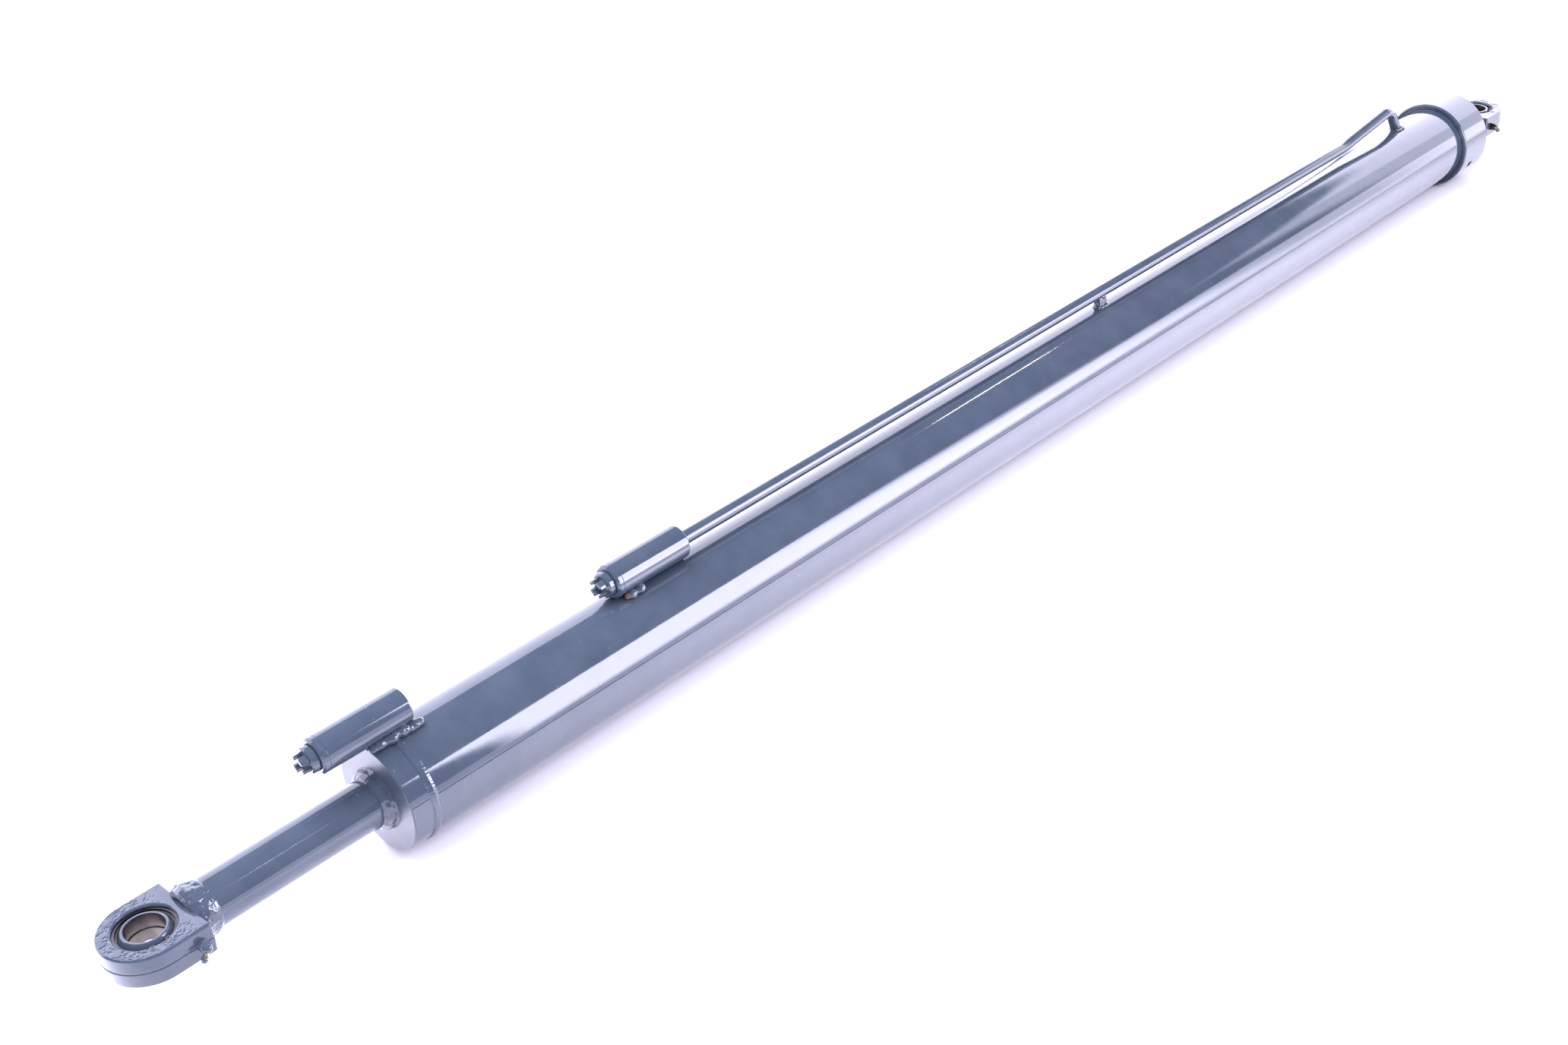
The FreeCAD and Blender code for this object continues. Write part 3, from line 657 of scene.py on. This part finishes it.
def make_nipple(end, body):
    x, side = ENDS[end]
    base_x = 26.0
    root = Vector((base_x, -EYE_R, 0))
    aim = Vector((-0.66, -0.34, -0.67)).normalized()
    elbow = root + Vector((0, -6.5, 0))
    washer = rounded([(-1.0, 0), (-1.0, 5.6), (0.9, 5.6, 0.4), (1.1, 4.6), (1.1, 0)])
    hexagon = rounded([(-0.5, 0), (-0.5, 5.196), (4.9, 5.196, 0.7), (6.5, 4.0, 0.5), (6.5, 0)])
    down = axis_place(root, (0, -1, 0))
    base = joined(moved(turned(washer, 40), down), moved(turned(hexagon, 6), down),
                  ball_shape(elbow, (4.4, 4.4, 4.4)))
    head = rounded([(2.0, 0), (2.0, 2.5), (6.3, 2.3, 0.5), (6.8, 3.3, 0.4), (9.8, 3.2, 0.8),
                    (10.4, 2.5, 0.4), (12.1, 1.6, 0.4), (12.1, 0.9), (11.6, 0.6), (11.6, 0)])
    tip = moved(turned(head, 36), axis_place(elbow, aim))
    tip_start = len(base[1])
    both = joined(base, tip)
    obj = new_object(end + "_nipple", mirrored_end(both, x, side))
    for material in (gloss_weld, nipple_tip) if end == "base" else (olive, olive_tip):
        obj.data.materials.append(material)
    for polygon in obj.data.polygons:
        polygon.material_index = 1 if polygon.index >= tip_start else 0
    finished(obj, body, [], [end + "_grease_nipple"], sharp=35.0)


def make_eye_weld(end, body, shaft_r):
    x, side = ENDS[end]
    outline = rounded([(35.0, 17.0), (33.4, 20.5, 2.0), (36.0, 25.2, 2.0), (40.5, 27.6, 2.5),
                       (46.0, 26.9, 3.0), (53.5, shaft_r + 1.0, 1.5), (57.5, shaft_r - 0.4),
                       (50.0, 17.0)], closed=True)
    shape = turned(divided(outline, 0.6, closed=True), 300, closed=True)
    obj = new_object(end + "_eye_weld_bead", mirrored_end(shape, x, side))
    lumps = weld_relief(8.0, 1.25, 1.0 + side)
    drips = weld_relief(3.4, 0.22, 2.0 + side)

    def relief(p):
        hold = 1.0 if math.hypot(p.y, p.z) > shaft_r + 1.0 else 0.3
        return hold * (lumps(p) + drips(p))
    relieved(obj, relief)
    finished(obj, body, [gloss_weld], [end + "_eye_weld"], sharp=60.0)


make_eye("base", "cylinder")
make_eye("rod", "rod")
make_ball("base", "base_bearing_ball")
make_ball("rod", "rod_bearing_ball")
make_nipple("base", "cylinder")
make_nipple("rod", "rod")
make_eye_weld("base", "cylinder", TUBE_R)
make_eye_weld("rod", "rod", ROD_R)


# ---------------------------------------------------------------- tube, cap and barrel
def make_tube():
    inner = 16.15
    outline = rounded([(FOOT_X, inner), (FOOT_X, TUBE_R, 0.6), (CAP_X, TUBE_R, 0.3),
                       (CAP_X, inner)], closed=True)
    piece("base_tube", turned(divided(outline, 12, closed=True), 160, closed=True), "cylinder",
          [gloss], ["extension_tube"])


def make_tube_weld():
    outline = rounded([
        (CAP_X + 0.3, TUBE_R - 1), (CAP_X - 11.5, TUBE_R - 1), (CAP_X - 10.2, TUBE_R + 2.0, 3.0),
        (CAP_X - 6.5, TUBE_R + 4.9, 6.0), (CAP_X - 1.5, TUBE_R + 5.8, 3.0),
        (CAP_X + 0.3, TUBE_R + 7.2)], closed=True)
    obj = new_object("base_tube_weld", turned(divided(outline, 0.6, closed=True), 240, closed=True))
    lumps = weld_relief(11.0, 1.0, 4.0)
    drips = weld_relief(3.2, 0.16, 5.0)

    def relief(p):
        hold = 0.3 if math.hypot(p.y, p.z) < TUBE_R + 0.6 or p.x > CAP_X - 0.4 else 1.0
        return hold * (lumps(p) + drips(p))
    relieved(obj, relief)
    finished(obj, "cylinder", [gloss_weld], ["extension_tube_weld"], sharp=60.0)


def make_cap():
    outline = rounded([(CAP_X, 0), (CAP_X, CAP_R, 1.3), (BARREL_X - 4.0, CAP_R, 0.5),
                       (BARREL_X, CAP_R - 4.4), (BARREL_X, BORE_R - 0.2),
                       (CAP_END, BORE_R - 0.2, 1.0), (CAP_END, 0)])
    piece("end_cap", turned(divided(outline, 9), 224), "cylinder",
          [gloss, gloss_turned], ["base_cap"], choose=lambda c: 1 if c.x < CAP_X + 0.1 else 0)


def make_seam_weld():
    outline = rounded([(BARREL_X, CAP_R - 3.6), (BARREL_X - 4.6, CAP_R - 0.3, 0.4),
                       (BARREL_X - 3.0, BARREL_R + 0.9, 1.2),
                       (BARREL_X + 1.5, BARREL_R + 1.15, 2.0),
                       (BARREL_X + 5.2, BARREL_R - 0.2, 0.4)], closed=True)
    shape = turned(divided(outline, 0.6, closed=True), 400, closed=True)
    obj = new_object("cap_seam_weld", shape)
    lumps = weld_relief(7.0, 0.28, 7.0)

    def relief(p):
        turn = math.atan2(p.y, p.z)
        ripple = 0.10 * math.sin(110 * turn + 3 * noise.noise(p / 9))
        return lumps(p) + ripple
    relieved(obj, relief)
    finished(obj, "cylinder", [gloss_weld], ["base_cap_weld"], sharp=60.0)


def make_barrel():
    outline = rounded([(BARREL_X + 4.5, BORE_R), (BARREL_X + 4.5, BARREL_R, 0.3),
                       (BARREL_END, BARREL_R, 0.8), (BARREL_END, BORE_R)], closed=True)
    shape = turned(divided(outline, 24, closed=True), 256, closed=True)
    piece("barrel_tube", shape, "cylinder", [gloss], ["barrel"])


make_tube()
make_tube_weld()
make_cap()
make_seam_weld()
make_barrel()


# ---------------------------------------------------------------- ports
def make_housing(end):
    low, high = span(end + "_port_housing")
    front, rear = low[0], high[0]
    outline = rounded([(front + 16, 0), (front + 16, 13.5), (front, 13.5), (front, PORT_R, 0.35),
                       (rear, PORT_R, 1.4), (rear, 0)])
    piece(end + "_housing", turned(divided(outline, 10), 128, y=PORT_Y, z=PORT_Z), "cylinder",
          [gloss], [end + "_port_housing"])


def make_adapter(end):
    low, high = span(end + "_port_adapter")
    front, rear = low[0], high[0]
    seam = front + 7.0
    outline = rounded([(front, 8.3, 0.3), (front, PORT_R - 2.2, 0.3), (front + 2.2, PORT_R, 0.3),
                       (seam - 0.12, PORT_R, 0.35), (seam - 0.12, 13.4), (rear, 13.4, 0.5),
                       (rear, 8.3)], closed=True)
    piece(end + "_adapter", turned(outline, 128, closed=True, y=PORT_Y, z=PORT_Z), "cylinder",
          [gloss], [end + "_port_adapter"])


def make_plug(end):
    low, high = span(end + "_port_plug")
    tip, rear = low[0], high[0]
    face = tip + 7.8
    outline = rounded([(face, 0), (face, 11.6, 0.3), (face + 1.6, 13.2, 0.4),
                       (face + 7.1, 13.2, 0.4), (face + 7.1, 8.2), (rear, 8.2, 0.6), (rear, 0)])
    flange = new_object(end + "_plug", turned(outline, 112, y=PORT_Y, z=PORT_Z))
    half = 3.5
    cut_with(flange, block((face - 1, PORT_Y - half, PORT_Z - half),
                           (face + 5, PORT_Y + half, PORT_Z + half)))
    slot_half, outer, inner = 2.6, 9.8, 5.6
    lugs = []
    for quarter in range(4):
        start = quarter * math.pi / 2
        wide, narrow = math.asin(slot_half / outer), math.asin(slot_half / inner)
        outline = [(outer * math.cos(start + a), outer * math.sin(start + a))
                   for a in np.linspace(wide, math.pi / 2 - wide, 9)]
        outline += [(inner * math.cos(start + a), inner * math.sin(start + a))
                    for a in np.linspace(math.pi / 2 - narrow, narrow, 5)]
        lugs.append(extruded([(PORT_Y + y, PORT_Z + z) for y, z in outline], tip, face + 0.4, 0.12))
    crown = new_object("crown", joined(*lugs))
    bevelled(crown, 0.45, 50.0)
    merged = bmesh.new()
    merged.from_mesh(flange.data)
    merged.from_mesh(crown.data)
    merged.to_mesh(flange.data)
    merged.free()
    bpy.data.objects.remove(crown)
    finished(flange, "cylinder", [gloss_plug], [end + "_port_plug"], sharp=35.0)


def make_port_weld(end, lumps_at, material):
    """Bead of run-together drops in the crevice on each side of a housing."""
    rng = np.random.default_rng(3 if end == "base" else 11)
    drops = []
    for side in (-1, 1):
        for x, size in lumps_at:
            y = side * (13.6 + rng.uniform(-0.6, 0.6))
            z = 57.2 + rng.uniform(-0.5, 0.5) + 0.5 * (size - 5.5)
            radii = (size * rng.uniform(1.0, 1.25), size * rng.uniform(0.85, 1.0),
                     size * rng.uniform(0.85, 1.0))
            shift = Matrix.Rotation(-PORT_ANGLE, 4, "X")
            drops.append(moved(ball_shape((x, y, z), radii), shift))
    obj = new_object(end + "_port_bead", joined(*drops))
    remeshed(obj, 0.55)
    relieved(obj, weld_relief(4.4, 0.42, 12.0 + len(lumps_at)))
    finished(obj, "cylinder", [material], [end + "_port_weld"], sharp=80.0)


def make_spring(end):
    """Valve spring with closed end coils."""
    low, high = span(end + "_valve_spring")
    wire_r, turns, travel = 0.45, 5.0, 1.6
    coil_r = (high[1] - low[1]) / 2 - wire_r
    share = np.linspace(0, 1, 200)
    run = np.interp(share, (0, 0.14, 0.86, 1), (0, 0.07, 0.93, 1))
    x = low[0] + wire_r + (high[0] - low[0] - 2 * wire_r) * run
    a = FULL * turns * share
    path = np.column_stack([x, PORT_Y + coil_r * np.cos(a), PORT_Z + coil_r * np.sin(a)])
    obj = piece(end + "_spring", swept(path, [wire_r] * len(path), 14), "cylinder",
                [spring_steel], [end + "_valve_spring"])
    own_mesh(obj)


for port_end in ("base", "rod"):
    make_spring(port_end)
    make_housing(port_end)
    make_adapter(port_end)
    make_plug(port_end)
base_drops = [(236, 4.6), (242, 5.8), (248.5, 5.0), (255, 6.2), (261, 5.2), (267.5, 6.4),
              (274, 5.4), (280, 5.6), (285, 4.6)]
rod_drops = [(541.5, 4.0), (546, 5.4), (551, 4.4), (556.5, 5.6)]
make_port_weld("base", base_drops, gloss_weld)
make_port_weld("rod", rod_drops, gloss_rusted)


# ---------------------------------------------------------------- transfer pipe
def pipe_path():
    """The pipe's centre line: along the barrel, a shallow rise, then down into the wall."""
    start_x = span("transfer_pipe")[0][0]
    route = [(start_x, PORT_DIST), (1935.0, PORT_DIST, 210.0), (2066.0, 87.7, 21.0), (2087.0, 50.0)]
    plan = divided(rounded(route, steps=14), 14.0)
    return [(x, h * math.sin(PORT_ANGLE), h * math.cos(PORT_ANGLE)) for x, h in plan]


def make_pipe():
    path = pipe_path()
    radii = [7.5 + 0.35 * max(0.0, 1 - abs(p[0] - 2066) / 14) for p in path]
    piece("pipe", swept(path, radii, 48), "cylinder", [gloss], ["transfer_pipe"])


def make_pipe_weld():
    path = pipe_path()
    foot, above = Vector(path[-1]), Vector(path[-3])
    down = (foot - above).normalized()
    outline = rounded([(-11.0, 0), (-11.0, 7.0), (-8.8, 8.6, 1.5), (-5.0, 10.6, 2.0),
                       (-0.5, 13.0, 1.5), (1.0, 12.5), (2.0, 0)])
    shape = turned(divided(outline, 0.6), 150)
    obj = new_object("pipe_end_weld", moved(shape, axis_place(foot, down)))
    relieved(obj, weld_relief(4.5, 0.7, 21.0))
    finished(obj, "cylinder", [gloss_weld], ["transfer_pipe_weld"], sharp=80.0)


def make_clip():
    """Saddle block under the pipe, melted into the pipe above and the barrel below."""
    low, high = span("pipe_clip")
    half_y, front, rear = 5.0, low[0] + 12.5, high[0] - 3.5
    outline = rounded([(-half_y, 50.0), (half_y, 50.0), (half_y, 70.0, 1.0), (-half_y, 70.0, 1.0)],
                      closed=True, steps=3)
    drops = [extruded(outline, front, rear)]
    for x in (front + 0.5, rear - 0.5):
        drops.append(ball_shape((x, 0, 67.5), (4.2, 5.0, 3.4)))
        drops.append(ball_shape((x, 0, 55.6), (4.4, 6.2, 3.6)))
    for side in (-1, 1):
        for share, size in ((0.2, 3.0), (0.75, 3.6)):
            x = front + share * (rear - front)
            drops.append(ball_shape((x, side * 5.2, 55.4), (size * 1.3, size, size * 0.8)))
        drops.append(ball_shape((front + 0.6 * (rear - front), side * 5.0, 68.2), (4.6, 2.5, 2.4)))
    obj = new_object("pipe_saddle", moved(joined(*drops), Matrix.Rotation(-PORT_ANGLE, 4, "X")))
    remeshed(obj, 0.5)
    relieved(obj, weld_relief(4.5, 0.2, 31.0))
    finished(obj, "cylinder", [gloss_weld], ["pipe_clip"], sharp=80.0)


make_pipe()
make_pipe_weld()
make_clip()


# ---------------------------------------------------------------- gland and rod
def make_gland():
    """Gland nut in one piece with its nose; the notches take a hook spanner."""
    bore = ROD_R + 0.5
    seal_seat, guide_seat, static_seat = ROD_R + 6.0, ROD_R + 3.0, 41.8
    nose_r, skirt_r, lip_r, shoulder_x = 36.0, BARREL_R + 0.5, BARREL_R + 3.6, 2110.0
    outline = rounded([
        (GLAND_NOSE, bore), (GLAND_NOSE, nose_r, 1.0), (shoulder_x, nose_r),
        (shoulder_x, 44.9, 1.0),
        (2116.0, 44.9), (2116.0, static_seat), (2121.5, static_seat), (2121.5, 44.9),
        (BARREL_END, 44.9), (BARREL_END, skirt_r), (GLAND_X + 2.2, skirt_r, 0.3),
        (GLAND_X + 2.2, lip_r), (GLAND_X, lip_r + 0.7, 0.9), (GLAND_X, GLAND_R, 2.8),
        (GLAND_FACE - 6.0, GLAND_R, 0.8), (GLAND_FACE, GLAND_R - 6.0, 0.8),
        (GLAND_FACE, seal_seat, 0.5), (2242.0, seal_seat), (2242.0, bore),
        (2236.0, bore), (2236.0, seal_seat), (2228.0, seal_seat), (2228.0, bore),
        (2223.0, bore), (2223.0, guide_seat), (2208.0, guide_seat), (2208.0, bore),
        (2139.0, bore), (2139.0, guide_seat), (2124.0, guide_seat), (2124.0, bore)], closed=True)
    obj = new_object("gland_nut", turned(divided(outline, 12, closed=True), 224, closed=True))
    notch = block((GLAND_X + 22, -4.5, GLAND_R - 5), (GLAND_X + 32, 4.5, GLAND_R + 7))
    for turn in (115, 295):
        cut_with(obj, moved(notch, Matrix.Rotation(math.radians(turn), 4, "X")))
    finished(obj, "cylinder", [gloss], ["gland"], sharp=35.0)


def make_rod():
    tail_r, shoulder_x = 19.0, 346.0
    outline = rounded([(ROD_START, 0), (ROD_START, tail_r, 1.5), (shoulder_x, tail_r),
                       (shoulder_x, ROD_R, 0.5), (ROD_END, ROD_R, 0.5), (ROD_END, 0)])
    return piece("chromed_rod", turned(divided(outline, 30), 192), "rod", [chrome],
                 ["piston_rod"])


make_gland()
rod = make_rod()


# ---------------------------------------------------------------- floor, light and camera
def receivers_without(obj):
    """Light-linking group for the cards: everything but this piece."""
    group = bpy.data.collections.new("card_receivers")
    group.objects.link(obj)
    for link in group.collection_objects:
        link.light_linking.link_state = "EXCLUDE"
    return group


# The cards are bright enough to show in gloss paint, and would burn the chrome out to white.
painted_only = receivers_without(rod)


def emission_panel(name, corners, colour, fade, solid=False):
    """Light card: four corners, linear colour, and the soft share of its edges (across, up).

    A card adds its light to what is behind it, and a solid one hides what is behind it.
    """
    mesh = bpy.data.meshes.new(name)
    mesh.from_pydata(corners, [], [(0, 1, 2, 3)])
    layer = mesh.uv_layers.new(name="UVMap")
    for loop, uv in zip(layer.data, ((0, 0), (1, 0), (1, 1), (0, 1))):
        loop.uv = uv
    material = bpy.data.materials.new(name)
    material.use_nodes = True
    tree = material.node_tree
    tree.nodes.clear()
    across = node(tree, "SeparateXYZ", {0: node(tree, "TexCoord").outputs["UV"]})
    level = 1.0
    for axis, (soft_low, soft_high) in zip(("X", "Y"), fade):
        place = across.outputs[axis]
        rise = {"Value": place, "From Max": max(soft_low, 1e-4)}
        fall = {"Value": place, "From Min": 1.0, "From Max": 1 - max(soft_high, 1e-4)}
        for ramp in (rise, fall):
            share = node(tree, "MapRange", ramp, interpolation_type="SMOOTHSTEP").outputs[0]
            level = node(tree, "Math", {0: level, 1: share}, operation="MULTIPLY").outputs[0]
    light = node(tree, "Emission", {"Color": (*colour, 1), "Strength": 1.0 if solid else level})
    clear = node(tree, "BsdfTransparent")
    if solid:
        both = node(tree, "MixShader", {0: level, 1: clear.outputs[0], 2: light.outputs[0]})
    else:
        both = node(tree, "AddShader", {0: clear.outputs[0], 1: light.outputs[0]})
    node(tree, "OutputMaterial", {"Surface": both.outputs[0]})
    mesh.materials.append(material)
    obj = bpy.data.objects.new(name, mesh)
    bpy.context.scene.collection.objects.link(obj)
    obj.visible_camera = False
    obj.visible_diffuse = False
    obj.visible_shadow = False
    obj.visible_transmission = False
    obj.light_linking.receiver_collection = painted_only
    return obj


def area_light(name, position, target, size, radiance, colour):
    """Soft light that lights surfaces but isn't mirrored in them."""
    data = bpy.data.lights.new(name, "AREA")
    data.shape = "RECTANGLE"
    data.size, data.size_y = size
    data.energy = radiance * math.pi * size[0] * size[1]
    data.color = colour
    obj = bpy.data.objects.new(name, data)
    obj.location = position
    aim = Vector(target) - Vector(position)
    obj.rotation_euler = aim.to_track_quat("-Z", "Y").to_euler()
    bpy.context.scene.collection.objects.link(obj)
    obj.visible_camera = False
    obj.visible_glossy = False
    return obj


def make_floor():
    half = 9.0
    z = cad_box[0][2] - 0.0002
    mesh = bpy.data.meshes.new("floor")
    corners = [(-half, -half, z), (half, -half, z), (half, half, z), (-half, half, z)]
    mesh.from_pydata(corners, [], [(0, 1, 2, 3)])
    material, tree, shader, place = new_material("floor")
    tone = mixed(tree, noise_at(tree, place, 3.0), (0.86, 0.85, 0.87, 1), (0.88, 0.87, 0.89, 1))
    tree.links.new(tone, shader.inputs["Base Color"])
    shader.inputs["Roughness"].default_value = 0.9
    shader.inputs["Specular IOR Level"].default_value = 0.0
    mesh.materials.append(material)
    floor = bpy.data.objects.new("floor", mesh)
    bpy.context.scene.collection.objects.link(floor)
    return z


def make_world(dim, ambient, colour):
    """White behind the object, a dim ceiling in its reflections, and even light on the rest."""
    world = bpy.data.worlds.new("studio")
    bpy.context.scene.world = world
    world.use_nodes = True
    tree = world.node_tree
    tree.nodes.clear()
    path = node(tree, "LightPath").outputs
    white = node(tree, "Background", {"Color": (1, 1, 1, 1), "Strength": 1.0})
    low = node(tree, "Background", {"Color": (*colour, 1), "Strength": dim})
    soft = node(tree, "Background", {"Color": (*colour, 1), "Strength": ambient})
    mix = node(tree, "MixShader", {0: path["Is Diffuse Ray"], 1: low.outputs[0],
                                   2: soft.outputs[0]})
    mix = node(tree, "MixShader", {0: path["Is Camera Ray"], 1: mix.outputs[0],
                                   2: white.outputs[0]})
    node(tree, "OutputWorld", {"Surface": mix.outputs[0]})


def make_camera():
    data = bpy.data.cameras.new("camera")
    data.sensor_width = 36.0
    data.lens = 44.22
    data.clip_end = 100.0
    obj = bpy.data.objects.new("camera", data)
    bpy.context.scene.collection.objects.link(obj)
    position = Vector((-0.450202, -1.253327, 1.061510))
    target = Vector((0.800313, 0.032292, 0.0))
    roll = -0.089
    forward = (target - position).normalized()
    level_right = forward.cross(Vector((0, 0, 1))).normalized()
    level_up = level_right.cross(forward)
    right = math.cos(roll) * level_right + math.sin(roll) * level_up
    up = -math.sin(roll) * level_right + math.cos(roll) * level_up
    turn = Matrix((right, up, -forward)).transposed().to_4x4()
    obj.matrix_world = Matrix.Translation(position) @ turn
    bpy.context.scene.camera = obj


floor_z = make_floor()
LILAC = (0.96, 0.93, 1.14)
WARM = (1.0, 0.93, 0.84)


def tinted(level, tint=LILAC):
    return tuple(level * c for c in tint)


def upright(start, end, top):
    """Corners of a card that stands on the floor from start to end, both (x, y)."""
    return [(*start, floor_z), (*end, floor_z), (*end, top), (*start, top)]


def lying(low, high, z):
    """Corners of a card that lies just above the floor, from low to high, both (x, y)."""
    return [(*low, z), (high[0], low[1], z), (*high, z), (low[0], high[1], z)]


# mirrored in the paint only
BACK_Y, EYE_CARD_Y, NEAR_Y, END_X = 1.15, 1.14, -0.42, 4.6
near_z = floor_z + 0.008
under_z = floor_z + 0.004
emission_panel("card_back", upright((-1.6, BACK_Y), (3.6, BACK_Y), 1.18), tinted(4.0),
               ((0.1, 0.0), (0.0, 0.05)))
emission_panel("card_near", [(0.505, NEAR_Y, near_z), (2.5, NEAR_Y, near_z), (2.5, -1.5, 1.1),
                             (0.95, -1.5, 1.1)], tinted(18.0), ((0.05, 0.55), (0.08, 0.10)))
emission_panel("card_far", [(1.6, -0.43, near_z), (3.7, -0.43, near_z), (3.7, -1.1, 0.5),
                            (1.6, -1.1, 0.5)], tinted(4.6), ((0.3, 0.0), (0.0, 0.3)))
emission_panel("card_eye", [(-0.5, EYE_CARD_Y, 1.05), (0.50, EYE_CARD_Y, 1.05),
                            (0.50, EYE_CARD_Y, 1.75), (-0.5, EYE_CARD_Y, 1.75)],
               tinted(4.0), ((0.1, 0.1), (0.0, 0.3)))
emission_panel("card_end", upright((END_X, -0.96), (END_X, 1.8), 2.0), tinted(6.0),
               ((0.0, 0.05), (0.0, 0.1)))
emission_panel("card_corner", upright((END_X, -1.9), (END_X, -0.96), 2.0), tinted(4.0),
               ((0.5, 0.0), (0.0, 0.1)))
emission_panel("card_floor", lying((-0.2, -0.40), (3.3, 0.0), under_z), tinted(5.5),
               ((0.4, 0.6), (0.0, 0.4)))
emission_panel("card_cap", lying((-0.25, -0.12), (0.232, 0.45), under_z), tinted(3.0),
               ((0.1, 0.0), (0.3, 0.1)))
emission_panel("strip_dark", lying((-1.0, -0.33), (2.4, -0.28), near_z), (0.0, 0.0, 0.0),
               ((0, 0.2), (0, 0)), solid=True)
emission_panel("lamp_tube", [(0.95, -1.50, 2.18), (1.17, -1.50, 2.18), (1.17, -1.53, 2.20),
                             (0.95, -1.53, 2.20)], tinted(60.0, WARM), ((0, 0), (0, 0)))
emission_panel("lamp_barrel", [(3.0, 0.38, 2.2), (3.5, 0.48, 2.2), (3.5, 0.52, 2.2),
                               (3.0, 0.42, 2.2)], tinted(60.0, WARM), ((0, 0), (0, 0)))

# lights the floor and the paint's own colour
area_light("key", (0.2, 0.9, 2.6), (0.8, 0.0, 0.0), (3.2, 2.2), 9.0, LILAC)
area_light("fill", (0.6, -2.2, 1.8), (0.9, 0.0, 0.0), (3.5, 1.5), 4.0, LILAC)
make_world(0.28, 1.7, LILAC)
make_camera()
bpy.context.scene.view_settings.view_transform = "Standard"
